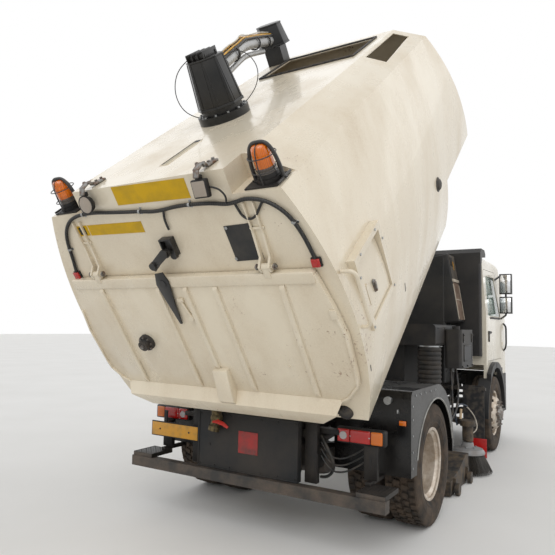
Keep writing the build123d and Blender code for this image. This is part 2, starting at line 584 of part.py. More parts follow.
# Rear mudguards: a boxed arch over the twin wheels, with the lamp bracket on its back
GUARD_INNER_Y = 585
GUARD_OUTER_Y = 1217
GUARD_TOP = 1175
GUARD_REAR = 690
GUARD_FRONT = 575
GUARD_BOTTOM = 535
GUARD_WALL = 7
ARCH_RADIUS = 548
with BuildPart() as mudguards:
    with BuildSketch(Plane.XZ.offset(-GUARD_OUTER_Y)):
        with BuildLine():
            Polyline(
                (REAR_AXLE_X + GUARD_FRONT, GUARD_BOTTOM - 20),
                (REAR_AXLE_X - GUARD_REAR, GUARD_BOTTOM),
                (REAR_AXLE_X - GUARD_REAR, GUARD_TOP - 60),
            )
            ThreePointArc(
                (REAR_AXLE_X - GUARD_REAR, GUARD_TOP - 60),
                (REAR_AXLE_X - GUARD_REAR + 18, GUARD_TOP - 18),
                (REAR_AXLE_X - GUARD_REAR + 60, GUARD_TOP),
            )
            Line((REAR_AXLE_X - GUARD_REAR + 60, GUARD_TOP), (REAR_AXLE_X + 60, GUARD_TOP))
            ThreePointArc(
                (REAR_AXLE_X + 60, GUARD_TOP),
                (REAR_AXLE_X + 430, 985),
                (REAR_AXLE_X + GUARD_FRONT, GUARD_BOTTOM - 20),
            )
        make_face()
    extrude(amount=GUARD_OUTER_Y - GUARD_INNER_Y)
    with BuildSketch(Plane.XZ.offset(-GUARD_OUTER_Y + GUARD_WALL)):
        with BuildLine():
            Polyline(
                (REAR_AXLE_X + GUARD_FRONT - GUARD_WALL, GUARD_BOTTOM - 60),
                (REAR_AXLE_X - GUARD_REAR + GUARD_WALL, GUARD_BOTTOM - 60),
                (REAR_AXLE_X - GUARD_REAR + GUARD_WALL, GUARD_TOP - 60),
            )
            ThreePointArc(
                (REAR_AXLE_X - GUARD_REAR + GUARD_WALL, GUARD_TOP - 60),
                (REAR_AXLE_X - GUARD_REAR + 22, GUARD_TOP - 22),
                (REAR_AXLE_X - GUARD_REAR + 60, GUARD_TOP - GUARD_WALL),
            )
            Line(
                (REAR_AXLE_X - GUARD_REAR + 60, GUARD_TOP - GUARD_WALL),
                (REAR_AXLE_X + 60, GUARD_TOP - GUARD_WALL),
            )
            ThreePointArc(
                (REAR_AXLE_X + 60, GUARD_TOP - GUARD_WALL),
                (REAR_AXLE_X + 424, 979),
                (REAR_AXLE_X + GUARD_FRONT - GUARD_WALL, GUARD_BOTTOM - 60),
            )
        make_face()
    extrude(amount=GUARD_OUTER_Y - GUARD_INNER_Y - GUARD_WALL, mode=Mode.SUBTRACT)
    with BuildSketch(Plane.XZ.offset(-GUARD_OUTER_Y)):
        with Locations((REAR_AXLE_X, TYRE_RADIUS)):
            Circle(ARCH_RADIUS)
    extrude(amount=GUARD_WALL, mode=Mode.SUBTRACT)
    lamp_back = LAMP_X + LAMP_DEPTH
    guard_back = REAR_AXLE_X - GUARD_REAR
    with Locations(((lamp_back + guard_back) / 2, LAMP_Y - 40, LAMP_Z)):
        Box(guard_back - lamp_back, 60, 60)
    with Locations((lamp_back + 5, LAMP_Y - 20, LAMP_Z)):
        Box(10, LAMP_LENGTH - 60, LAMP_HEIGHT - 10)
    with Locations((REAR_AXLE_X - 560, (RAIL_OUTER_Y + GUARD_INNER_Y + 100) / 2, 890)):
        Cylinder(22, GUARD_INNER_Y + 100 - RAIL_OUTER_Y, rotation=(90, 0, 0))
    with Locations((REAR_AXLE_X - 560, GUARD_INNER_Y + 4, 1000)):
        Box(60, 8, 350)
    with Locations((REAR_AXLE_X + 470, (RAIL_OUTER_Y + GUARD_INNER_Y + 100) / 2, 860)):
        Cylinder(22, GUARD_INNER_Y + 100 - RAIL_OUTER_Y, rotation=(90, 0, 0))
    with Locations((REAR_AXLE_X + 470, GUARD_INNER_Y + 4, 880)):
        Box(50, 8, 130)
    mirror(about=Plane.XZ)
save(mudguards, "rear_mudguards")

# Power pack behind the cab: a plain engine block under a wide deck, with the hydraulic tank
DECK_REAR = REAR_AXLE_X + 1500
DECK_FRONT = REAR_AXLE_X + 2520
DECK_HALF_WIDTH = 800
DECK_BOTTOM = 1460
DECK_TOP = 1705
PACK_BOTTOM = RAIL_TOP + 10
with BuildPart() as power_pack:
    with BuildSketch(Plane.YZ.offset(DECK_REAR)):
        with Locations((0, (DECK_BOTTOM + DECK_TOP) / 2)):
            RectangleRounded(2 * DECK_HALF_WIDTH, DECK_TOP - DECK_BOTTOM, 40)
    extrude(amount=DECK_FRONT - DECK_REAR)
    with Locations(((DECK_REAR + DECK_FRONT) / 2, 0, (PACK_BOTTOM + DECK_BOTTOM) / 2 + 20)):
        Box(800, 800, DECK_BOTTOM - PACK_BOTTOM + 40)
    for x in (DECK_REAR + 160, DECK_FRONT - 160):
        with Locations((x, 0, RAIL_TOP + SEAT_GAP + 20)):
            Box(70, 2 * RAIL_OUTER_Y, 40 - 2 * SEAT_GAP)
    with BuildSketch(Plane.XY.offset(1190)):
        with Locations((DECK_FRONT - 330, -900)):
            RectangleRounded(620, 200, 40)
    extrude(amount=460)
    with Locations((DECK_FRONT - 330, -790, 1500)):
        Box(300, 60, 60)
    with BuildSketch(Plane.XY.offset(1650)):
        with Locations((DECK_FRONT - 480, -900)):
            Circle(45)
    extrude(amount=40)
save(power_pack, "power_pack")

# Radiator tower between the power pack and the cab: louvres above, an inlet grille below
TOWER_REAR = REAR_AXLE_X + 2620
TOWER_FRONT = REAR_AXLE_X + 2950
TOWER_HALF_WIDTH = 620
TOWER_TOP = 2620
TOWER_RECESS = 26
TOWER_LOUVRES = 9
with BuildPart() as tower:
    with BuildSketch(Plane.XY.offset(RAIL_TOP + SEAT_GAP)):
        with Locations(((TOWER_REAR + TOWER_FRONT) / 2, 0)):
            RectangleRounded(TOWER_FRONT - TOWER_REAR, 2 * TOWER_HALF_WIDTH, 30)
    extrude(amount=TOWER_TOP - RAIL_TOP - SEAT_GAP)
    with BuildSketch(Plane.XZ.offset(-TOWER_HALF_WIDTH)):
        with Locations(((TOWER_REAR + TOWER_FRONT) / 2, 2240)):
            RectangleRounded(230, 560, 16)
        with Locations(((TOWER_REAR + TOWER_FRONT) / 2, 1560)):
            RectangleRounded(230, 620, 16)
    extrude(amount=TOWER_RECESS, mode=Mode.SUBTRACT)
    split(bisect_by=Plane.XZ, keep=Keep.BOTTOM)
    for rank in range(TOWER_LOUVRES):
        louvre_z = 2240 + (rank - (TOWER_LOUVRES - 1) / 2) * 58
        with BuildSketch(Plane.YZ.offset((TOWER_REAR + TOWER_FRONT) / 2 - 115)):
            outline(
                (TOWER_HALF_WIDTH - TOWER_RECESS - 2, louvre_z),
                (TOWER_HALF_WIDTH - TOWER_RECESS - 2, louvre_z + 12),
                (TOWER_HALF_WIDTH - 2, louvre_z - 12),
                (TOWER_HALF_WIDTH - 2, louvre_z - 24),
            )
        extrude(amount=230)
    for rank in range(6):
        bar_z = 1560 + (rank - 2.5) * 96
        with Locations(((TOWER_REAR + TOWER_FRONT) / 2, TOWER_HALF_WIDTH - TOWER_RECESS / 2, bar_z)):
            Box(230, TOWER_RECESS, 14)
    for rank in (-1, 0, 1):
        bar_x = (TOWER_REAR + TOWER_FRONT) / 2 + rank * 58
        with Locations((bar_x, TOWER_HALF_WIDTH - TOWER_RECESS / 2 - 4, 1560)):
            Box(12, TOWER_RECESS - 8, 620)
    mirror(about=Plane.XZ)
save(tower, "radiator_tower")

# Suction duct: a ribbed hose from the nozzle's neck up to the deck
DUCT_X = REAR_AXLE_X + 1640
DUCT_Y = -690
DUCT_RADIUS = 125
DUCT_RIB = 10
DUCT_PITCH = 52
DUCT_BOTTOM = 330
DUCT_RIBS = 21
with BuildPart() as duct:
    with BuildSketch(Plane(origin=(DUCT_X, DUCT_Y, DUCT_BOTTOM), x_dir=(1, 0, 0), z_dir=(0, -1, 0))):
        with BuildLine():
            profile_end = DECK_BOTTOM - SEAT_GAP - DUCT_BOTTOM
            Polyline((0, 0), (DUCT_RADIUS, 0), (DUCT_RADIUS, 20))
            for rank in range(DUCT_RIBS):
                foot = 20 + rank * DUCT_PITCH
                Polyline(
                    (DUCT_RADIUS, foot),
                    (DUCT_RADIUS + DUCT_RIB, foot + DUCT_PITCH * 0.3),
                    (DUCT_RADIUS + DUCT_RIB, foot + DUCT_PITCH * 0.6),
                    (DUCT_RADIUS, foot + DUCT_PITCH),
                )
            top_rib = 20 + DUCT_RIBS * DUCT_PITCH
            Polyline((DUCT_RADIUS, top_rib), (DUCT_RADIUS, profile_end), (0, profile_end), (0, 0))
        make_face()
    revolve(axis=Axis((DUCT_X, DUCT_Y, 0), (0, 0, 1)))
save(duct, "suction_duct")

# Suction nozzle: a shallow hood close to the road with a neck and small castors
NOZZLE_REAR = REAR_AXLE_X + 850
NOZZLE_FRONT = REAR_AXLE_X + 1640
NOZZLE_IN = -560
NOZZLE_OUT = -1120
NOZZLE_FLOOR = 14
NOZZLE_WALL = 10
NOZZLE_SLOPE = (
    (NOZZLE_REAR, NOZZLE_FLOOR),
    (NOZZLE_REAR, 150),
    (NOZZLE_REAR + 360, 205),
    (DUCT_X - 145, 292),
    (NOZZLE_FRONT, 292),
    (NOZZLE_FRONT, NOZZLE_FLOOR),
)
with BuildPart() as nozzle:
    with BuildSketch(Plane.XZ.offset(-NOZZLE_IN)):
        outline(*NOZZLE_SLOPE)
    extrude(amount=NOZZLE_IN - NOZZLE_OUT)
    with BuildSketch(Plane.XZ.offset(-NOZZLE_IN + NOZZLE_WALL)):
        outline(*[
            (x + (NOZZLE_WALL if x < NOZZLE_FRONT else -NOZZLE_WALL), z - (NOZZLE_WALL if z > 20 else 30))
            for x, z in NOZZLE_SLOPE
        ])
    extrude(amount=NOZZLE_IN - NOZZLE_OUT - 2 * NOZZLE_WALL, mode=Mode.SUBTRACT)
    with Locations((DUCT_X + 20, DUCT_Y, 235)):
        Box(250, 250, 130)
    with Locations((DUCT_X, DUCT_Y, 309.7)):
        Cylinder(DUCT_RADIUS + 6, 40)
    for x, y in ((NOZZLE_REAR + 130, NOZZLE_OUT - 40), (NOZZLE_FRONT - 120, NOZZLE_OUT - 40)):
        with Locations((x, y, 62)):
            Cylinder(60, 40, rotation=(90, 0, 0))
        with Locations((x, y + 30, 110)):
            Box(50, 32, 120)
    # Hangers from the rail
    for x in (NOZZLE_REAR + 240, DUCT_X - 190):
        with BuildSketch(Plane.YZ.offset(x - 30)):
            outline(
                (-RAIL_OUTER_Y - SEAT_GAP, RAIL_TOP - 30),
                (-RAIL_OUTER_Y - SEAT_GAP, RAIL_BOTTOM + 20),
                (NOZZLE_IN - 20, 190),
                (NOZZLE_IN - 60, 190),
                (-RAIL_OUTER_Y - SEAT_GAP - 16, RAIL_BOTTOM),
                (-RAIL_OUTER_Y - SEAT_GAP - 16, RAIL_TOP - 30),
            )
        extrude(amount=60)
save(nozzle, "suction_nozzle")

# Side brush: an arm on its pin, a motor, a disc and a skirt of bristle tufts
ARM_HEIGHT = 60
MOTOR_RADIUS = 62
DISC_RADIUS = 190
DISC_BOTTOM = 222
DISC_TOP = 290
BRUSH_SHAFT_RADIUS = 22
TUFTS = 32
TUFT_TIP_Z = 18
TUFT_TOP_RADIUS = 168
TUFT_TIP_RADIUS = 282
with BuildPart() as brush_arm:
    with BuildSketch(Plane.XY.offset(BRUSH_ARM_Z - ARM_HEIGHT / 2)):
        reach = Vector(BRUSH_X - BRUSH_PIVOT_X, BRUSH_Y - BRUSH_PIVOT_Y)
        across = Vector(-reach.Y, reach.X).normalized() * 38
        outline(
            (BRUSH_PIVOT_X + across.X, BRUSH_PIVOT_Y + across.Y),
            (BRUSH_X + across.X, BRUSH_Y + across.Y),
            (BRUSH_X - across.X, BRUSH_Y - across.Y),
            (BRUSH_PIVOT_X - across.X, BRUSH_PIVOT_Y - across.Y),
        )
        with Locations((BRUSH_X, BRUSH_Y)):
            Circle(88)
    extrude(amount=ARM_HEIGHT)
    with Locations((BRUSH_PIVOT_X, BRUSH_PIVOT_Y, BRUSH_ARM_Z)):
        Cylinder(48, 150)
        Cylinder(BRUSH_PIN_RADIUS + RUNNING_GAP, 150, mode=Mode.SUBTRACT)
    with Locations((BRUSH_X, BRUSH_Y, (BRUSH_ARM_Z + 360) / 2)):
        Cylinder(MOTOR_RADIUS, BRUSH_ARM_Z - 360)
    with Locations((BRUSH_X, BRUSH_Y, 340)):
        Cylinder(BRUSH_SHAFT_RADIUS, 80)
save(brush_arm, "brush_arm")

with BuildPart() as brush_head:
    with BuildSketch(Plane(origin=(BRUSH_X, BRUSH_Y, 0), x_dir=(1, 0, 0), z_dir=(0, -1, 0))):
        outline(
            (BRUSH_SHAFT_RADIUS + RUNNING_GAP, DISC_TOP - 30),
            (BRUSH_SHAFT_RADIUS + RUNNING_GAP, 345),
            (60, 345),
            (70, DISC_TOP),
            (DISC_RADIUS - 24, DISC_TOP - 16),
            (DISC_RADIUS, DISC_BOTTOM + 18),
            (DISC_RADIUS, DISC_BOTTOM),
            (0, DISC_BOTTOM),
            (0, DISC_TOP - 30),
        )
    revolve(axis=Axis((BRUSH_X, BRUSH_Y, 0), (0, 0, 1)))
save(brush_head, "brush_head")

with BuildPart() as bristles:
    with BuildSketch(Plane.XY.offset(DISC_BOTTOM - SEAT_GAP)):
        with Locations((BRUSH_X, BRUSH_Y)):
            Circle(TUFT_TOP_RADIUS + 16)
            Circle(TUFT_TOP_RADIUS - 16, mode=Mode.SUBTRACT)
    extrude(amount=-12)
    for rank in range(TUFTS):
        turn = radians(360 / TUFTS * rank)
        top = Vector(
            BRUSH_X + TUFT_TOP_RADIUS * cos(turn),
            BRUSH_Y + TUFT_TOP_RADIUS * sin(turn),
            DISC_BOTTOM - 6,
        )
        tip = Vector(
            BRUSH_X + TUFT_TIP_RADIUS * cos(turn + 0.12),
            BRUSH_Y + TUFT_TIP_RADIUS * sin(turn + 0.12),
            TUFT_TIP_Z + 4,
        )
        with BuildSketch(Plane(origin=top, x_dir=(cos(turn), sin(turn), 0), z_dir=tip - top)):
            RegularPolygon(11, 6)
        with BuildSketch(Plane(origin=tip, x_dir=(cos(turn), sin(turn), 0), z_dir=tip - top)):
            RegularPolygon(19, 6)
        loft(ruled=True)
save(bristles, "brush_bristles")

# Flap behind the front wheel and the red marker board by the brush
FLAP_X = REAR_AXLE_X + 2640
with BuildPart() as flap:
    with Locations((FLAP_X, -970, 655)):
        Box(12, 260, 570)
    with Locations((FLAP_X, -(RAIL_OUTER_Y + SEAT_GAP + 1120) / 2, 900)):
        Box(40, 1120 - RAIL_OUTER_Y - SEAT_GAP, 40)
    with Locations((FLAP_X + 10, -990, 250)):
        Box(10, 220, 250)
save(flap, "wheel_flap")

# Cab body from three outlines: side, front and plan. The same body drawn further in gives the
# inside of its walls and the glass.
ROOF_CORNER = 140
FRONT_CORNER = 260
CAB_BOTTOM = 1000
TUMBLEHOME = 55
CAB_ARCH_RADIUS = 640
CAB_BELT = 1750
GLASS_DEPTH = 8


def cab_body(inset, bottom=CAB_BOTTOM):
    with BuildPart() as body:
        with BuildSketch(Plane.XZ):
            with BuildLine():
                Polyline(
                    (FRONT_AXLE_X - 290, 2665),
                    (FRONT_AXLE_X + 560, CAB_ROOF),
                )
                ThreePointArc(
                    (FRONT_AXLE_X + 560, CAB_ROOF),
                    (FRONT_AXLE_X + 712, 2667),
                    (FRONT_AXLE_X + 800, 2590),
                )
                Polyline(
                    (FRONT_AXLE_X + 800, 2590),
                    (FRONT_AXLE_X + 1180, 1760),
                    (FRONT_AXLE_X + 1262, 1480),
                    (CAB_FRONT_X, bottom),
                    (CAB_REAR_X, bottom),
                    (CAB_REAR_X, 2540),
                )
                ThreePointArc(
                    (CAB_REAR_X, 2540),
                    (CAB_REAR_X + 33, 2626),
                    (FRONT_AXLE_X - 290, 2665),
                )
            make_face()
            offset(amount=-inset)
        extrude(amount=CAB_HALF_WIDTH + 50, both=True)
        with BuildSketch(Plane.YZ.offset(CAB_REAR_X - 50)):
            with BuildLine():
                top_y = CAB_HALF_WIDTH - TUMBLEHOME
                Polyline(
                    (-CAB_HALF_WIDTH, CAB_BELT),
                    (-CAB_HALF_WIDTH, bottom - 100),
                    (CAB_HALF_WIDTH, bottom - 100),
                    (CAB_HALF_WIDTH, CAB_BELT),
                    (top_y, CAB_ROOF - ROOF_CORNER),
                )
                bend = ROOF_CORNER * (1 - cos(radians(45)))
                ThreePointArc(
                    (top_y, CAB_ROOF - ROOF_CORNER),
                    (top_y - bend, CAB_ROOF - bend),
                    (top_y - ROOF_CORNER, CAB_ROOF),
                )
                Line((top_y - ROOF_CORNER, CAB_ROOF), (ROOF_CORNER - top_y, CAB_ROOF))
                ThreePointArc(
                    (ROOF_CORNER - top_y, CAB_ROOF),
                    (bend - top_y, CAB_ROOF - bend),
                    (-top_y, CAB_ROOF - ROOF_CORNER),
                )
                Line((-top_y, CAB_ROOF - ROOF_CORNER), (-CAB_HALF_WIDTH, CAB_BELT))
            make_face()
            offset(amount=-inset)
        extrude(amount=CAB_FRONT_X - CAB_REAR_X + 100, mode=Mode.INTERSECT)
        with BuildSketch(Plane.XY.offset(bottom - 60)):
            with Locations(((CAB_REAR_X + CAB_FRONT_X - 200) / 2, 0)):
                RectangleRounded(
                    CAB_FRONT_X - CAB_REAR_X + 200 - 2 * inset,
                    2 * CAB_HALF_WIDTH - 2 * inset,
                    FRONT_CORNER - inset,
                )
        extrude(amount=CAB_ROOF + 200 - bottom, mode=Mode.INTERSECT)
    return body.part


cab_outer = cab_body(0)
cab_inner = cab_body(CAB_WALL, CAB_BOTTOM - 200)
cab_outer_fit = cab_body(-SEAT_GAP)
glass_outer = cab_body(GLASS_DEPTH)
glass_inner = cab_body(GLASS_DEPTH + GLASS)

DOOR_OUTLINE = ((-330, 1235), (-330, 2480), (430, 2500), (800, 1830), (800, 1300), (690, 1235))
DOOR_WINDOW = ((-250, 1850), (-250, 2400), (400, 2420), (690, 1850))
WINDSCREEN = ((930, 1800), (860, 2500), (-860, 2500), (-930, 1800))
REAR_WINDOW = ((500, 1900), (500, 2400), (-500, 2400), (-500, 1900))


def side_points(points):
    return [(FRONT_AXLE_X + x, z) for x, z in points]


with BuildPart() as cab_space:
    add(cab_inner)
    with Locations((FRONT_AXLE_X + 400, 0, CAB_FLOOR + FLOOR_SLAB / 2)):
        Box(3000, 3000, FLOOR_SLAB, mode=Mode.SUBTRACT)

with BuildPart() as cab_shell:
    add(cab_outer)
    add(cab_space.part, mode=Mode.SUBTRACT)
    with Locations((CAB_REAR_X, 0, (CAB_BOTTOM + CAB_FLOOR) / 2 - 20)):
        Box(4 * CAB_WALL, 2 * (CAB_HALF_WIDTH - CAB_WALL), CAB_FLOOR - CAB_BOTTOM + 40, mode=Mode.SUBTRACT)
    with BuildSketch(Plane.XZ):
        with Locations((FRONT_AXLE_X, TYRE_RADIUS)):
            Circle(CAB_ARCH_RADIUS)
    extrude(amount=CAB_HALF_WIDTH + 50, both=True, mode=Mode.SUBTRACT)
    with BuildSketch(Plane.XZ):
        outline(*side_points(DOOR_OUTLINE))
        offset(amount=PANEL_GAP, kind=Kind.INTERSECTION)
    extrude(amount=CAB_HALF_WIDTH + 50, both=True, mode=Mode.SUBTRACT)
    with BuildSketch(Plane.YZ.offset(FRONT_AXLE_X + 500)):
        outline(*WINDSCREEN)
    extrude(amount=900, mode=Mode.SUBTRACT)
    with BuildSketch(Plane.YZ.offset(CAB_REAR_X - 20)):
        outline(*REAR_WINDOW)
    extrude(amount=100, mode=Mode.SUBTRACT)
    for level in DOOR_HINGE_LEVELS:
        for side in (-1, 1):
            with Locations((DOOR_HINGE_X, side * CAB_HALF_WIDTH, level)):
                Cylinder(DOOR_HINGE_RADIUS + RUNNING_GAP, 62, mode=Mode.SUBTRACT)
save(cab_shell, "cab_shell")

with BuildPart() as cab_skin:
    add(cab_outer)
    add(cab_inner, mode=Mode.SUBTRACT)
with BuildPart() as glass_skin:
    add(glass_outer)
    add(glass_inner, mode=Mode.SUBTRACT)

with BuildPart() as cab_glass:
    with BuildSketch(Plane.YZ.offset(FRONT_AXLE_X + 500)):
        outline(*WINDSCREEN)
        offset(amount=-SEAT_GAP)
    extrude(amount=900)
    with BuildSketch(Plane.YZ.offset(CAB_REAR_X - 20)):
        outline(*REAR_WINDOW)
        offset(amount=-SEAT_GAP)
    extrude(amount=100)
    add(glass_skin.part, mode=Mode.INTERSECT)
save(cab_glass, "cab_glass")

# Doors, cut from the same skin, with their window openings and panes
DOOR_REACH = 350
for name, side in sides:
    door_plane = Plane.XZ.offset(-side * (CAB_HALF_WIDTH + 50))
    with BuildPart() as door:
        with BuildSketch(door_plane):
            outline(*side_points(DOOR_OUTLINE))
            Polygon(*side_points(DOOR_WINDOW), align=None, mode=Mode.SUBTRACT)
        extrude(amount=side * DOOR_REACH)
        add(cab_skin.part, mode=Mode.INTERSECT)
        for level in DOOR_HINGE_LEVELS:
            with Locations((DOOR_HINGE_X, side * CAB_HALF_WIDTH, level)):
                Cylinder(DOOR_HINGE_RADIUS, 60)
    save(door, f"cab_door_{name}")
    with BuildPart() as door_glass:
        with BuildSketch(door_plane):
            outline(*side_points(DOOR_WINDOW))
            offset(amount=-SEAT_GAP)
        extrude(amount=side * DOOR_REACH)
        add(glass_skin.part, mode=Mode.INTERSECT)
    save(door_glass, f"door_glass_{name}")

# Seats, dashboard and steering wheel
SEAT_Y = 480
with BuildPart() as seats:
    with BuildSketch(Plane.XZ.offset(-SEAT_Y - 250)):
        outline(*side_points((
            (-60, CAB_FLOOR + FLOOR_SLAB + SEAT_GAP),
            (-60, 1500),
            (-120, 1540),
            (-240, 2240),
            (-150, 2260),
            (-40, 1660),
            (420, 1680),
            (440, 1560),
            (320, 1500),
            (320, CAB_FLOOR + FLOOR_SLAB + SEAT_GAP),
        )))
    extrude(amount=500)
    with Locations((FRONT_AXLE_X - 205, SEAT_Y, 2330)):
        Box(80, 270, 150)
    mirror(about=Plane.XZ)
save(seats, "seats")

WHEEL_RADIUS = 215
with BuildPart() as dashboard:
    with BuildSketch(Plane.XZ.offset(-900)):
        outline(*side_points((
            (800, 1560),
            (780, 1700),
            (900, 1765),
            (1100, 1750),
            (1150, 1540),
            (1000, 1500),
        )))
    extrude(amount=1800)
    with Locations((FRONT_AXLE_X + 980, 0, (CAB_FLOOR + FLOOR_SLAB + SEAT_GAP + 1560) / 2)):
        Box(160, 400, 1560 - CAB_FLOOR - FLOOR_SLAB - SEAT_GAP)
    wheel_plane = Plane(origin=(FRONT_AXLE_X + 640, SEAT_Y, 1780), x_dir=(0, 1, 0), z_dir=(-0.55, 0, 0.83))
    with BuildSketch(wheel_plane):
        Circle(WHEEL_RADIUS + 16)
        Circle(WHEEL_RADIUS - 16, mode=Mode.SUBTRACT)
        Rectangle(2 * WHEEL_RADIUS, 44)
        Circle(62)
    extrude(amount=28)
    with BuildSketch(wheel_plane):
        Circle(30)
    extrude(amount=-300)
save(dashboard, "dashboard")

# Black cladding: corner fairings and roof cap behind the cab, and the flares round the wheels
FAIRING_IN = 500
FAIRING_OUT = 1010
FAIRING_DEPTH = 88
CAP_TOP = 2762
CAP_FRONT = -150
FLARE_OUT = 1120
FLARE_IN = 962
with BuildPart() as cladding:
    with BuildSketch(Plane.XY.offset(1300)):
        with Locations((CAB_REAR_X - SEAT_GAP - FAIRING_DEPTH / 2, (FAIRING_IN + FAIRING_OUT) / 2)):
            RectangleRounded(FAIRING_DEPTH, FAIRING_OUT - FAIRING_IN, 30)
    extrude(amount=2700 - 1300)
    with BuildSketch(Plane.XZ.offset(-FAIRING_OUT)):
        outline(
            (CAB_REAR_X - FAIRING_DEPTH - SEAT_GAP, 2560),
            (CAB_REAR_X - FAIRING_DEPTH - SEAT_GAP, 2700),
            (CAB_REAR_X - 30, CAP_TOP),
            (FRONT_AXLE_X + CAP_FRONT - 60, CAP_TOP),
            (FRONT_AXLE_X + CAP_FRONT, CAP_TOP - 50),
            (FRONT_AXLE_X + CAP_FRONT, 2668 + SEAT_GAP),
            (FRONT_AXLE_X - 300, 2664 + SEAT_GAP + 2),
            (CAB_REAR_X + 20, 2640),
            (CAB_REAR_X - SEAT_GAP, 2560),
        )
    extrude(amount=2 * FAIRING_OUT)
    with BuildSketch(Plane.XZ.offset(-FLARE_OUT)):
        with Locations((FRONT_AXLE_X, TYRE_RADIUS)):
            Circle(CAB_ARCH_RADIUS + 62)
            Circle(CAB_ARCH_RADIUS - 16, mode=Mode.SUBTRACT)
        with Locations((FRONT_AXLE_X, TYRE_RADIUS - 500)):
            Rectangle(2000, 1000, mode=Mode.SUBTRACT)
        with Locations((FRONT_AXLE_X - 1000, TYRE_RADIUS)):
            Rectangle(1150, 1300, mode=Mode.SUBTRACT)
    extrude(amount=FLARE_OUT - CAB_HALF_WIDTH - SEAT_GAP)
    with BuildSketch(Plane.XZ.offset(-FLARE_OUT)):
        with Locations((FRONT_AXLE_X, TYRE_RADIUS)):
            Circle(CAB_ARCH_RADIUS - SEAT_GAP)
            Circle(CAB_ARCH_RADIUS - 16, mode=Mode.SUBTRACT)
        with Locations((FRONT_AXLE_X, TYRE_RADIUS - 500)):
            Rectangle(2000, 1000, mode=Mode.SUBTRACT)
    extrude(amount=FLARE_OUT - FLARE_IN)
    add(cab_outer_fit, mode=Mode.SUBTRACT)
    mirror(about=Plane.XZ)
save(cladding, "cab_cladding")

# Front bumper: a thick shell round the front corners, open for the lamps and the grille
BUMPER_TOP = 990
BUMPER_BOTTOM = 430
BUMPER_REAR = FRONT_AXLE_X + 642
BUMPER_FRONT = FRONT_AXLE_X + 1278
BUMPER_WALL = 45
LAMP_OPENING = (430, 170)
HEADLAMP_Y = 740
HEADLAMP_Z = 760
with BuildPart() as bumper:
    with BuildSketch(Plane.XY.offset(BUMPER_BOTTOM)):
        with Locations(((BUMPER_REAR + BUMPER_FRONT - 400) / 2, 0)):
            RectangleRounded(BUMPER_FRONT - BUMPER_REAR + 400, 2 * CAB_HALF_WIDTH, 230)
            RectangleRounded(
                BUMPER_FRONT - BUMPER_REAR + 400 - 2 * BUMPER_WALL,
                2 * (CAB_HALF_WIDTH - BUMPER_WALL),
                230 - BUMPER_WALL,
                mode=Mode.SUBTRACT,
            )
        with Locations((BUMPER_REAR - 500, 0)):
            Rectangle(1000, 3000, mode=Mode.SUBTRACT)
    extrude(amount=BUMPER_TOP - BUMPER_BOTTOM)
    with BuildSketch(Plane.YZ.offset(BUMPER_FRONT - 300)):
        with Locations((HEADLAMP_Y, HEADLAMP_Z), (-HEADLAMP_Y, HEADLAMP_Z)):
            RectangleRounded(*LAMP_OPENING, 40)
        for rank in range(4):
            with Locations((0, 560 + rank * 88)):
                RectangleRounded(740, 46, 16)
    extrude(amount=400, mode=Mode.SUBTRACT)
    for end in (-1, 1):
        with Locations(((FRAME_FRONT_X + SEAT_GAP + BUMPER_FRONT - 20) / 2, end * (RAIL_OUTER_Y - 25), 860)):
            Box(BUMPER_FRONT - 20 - FRAME_FRONT_X - SEAT_GAP, 50, 120)
    with Locations((BUMPER_FRONT - BUMPER_WALL - 25, 0, 505)):
        Box(60, 900, 40)
save(bumper, "front_bumper")

with BuildPart() as headlamps:
    with BuildSketch(Plane.YZ.offset(BUMPER_FRONT - 120)):
        with Locations((HEADLAMP_Y, HEADLAMP_Z)):
            RectangleRounded(LAMP_OPENING[0] - 2 * SEAT_GAP, LAMP_OPENING[1] - 2 * SEAT_GAP, 39)
    extrude(amount=100)
    mirror(about=Plane.XZ)
save(headlamps, "headlamps")

# Mirrors on bent tube arms that stand on the doors' window frames
MIRROR_Y = 1165
MIRROR_X = FRONT_AXLE_X + 545
MIRROR_HEADS = ((300, 2190), (250, 1900))  # (height, bottom)
for name, side in sides:
    with BuildPart() as door_mirror:
        with BuildLine() as mirror_arm:
            FilletPolyline(
                (FRONT_AXLE_X + 456, side * 1005, 2385),
                (MIRROR_X, side * MIRROR_Y, 2520),
                (MIRROR_X, side * MIRROR_Y, 1880),
                (FRONT_AXLE_X + 745, side * (CAB_HALF_WIDTH - 10), 1825),
                radius=45,
            )
        with BuildSketch(mirror_arm.line ^ 0):
            Circle(14)
        sweep()
        for height, low in MIRROR_HEADS:
            with BuildSketch(Plane.XY.offset(low)):
                with Locations((MIRROR_X, side * MIRROR_Y)):
                    RectangleRounded(90, 180, 35)
            extrude(amount=height)
        add(cab_outer_fit, mode=Mode.SUBTRACT)
    save(door_mirror, f"mirror_{name}")


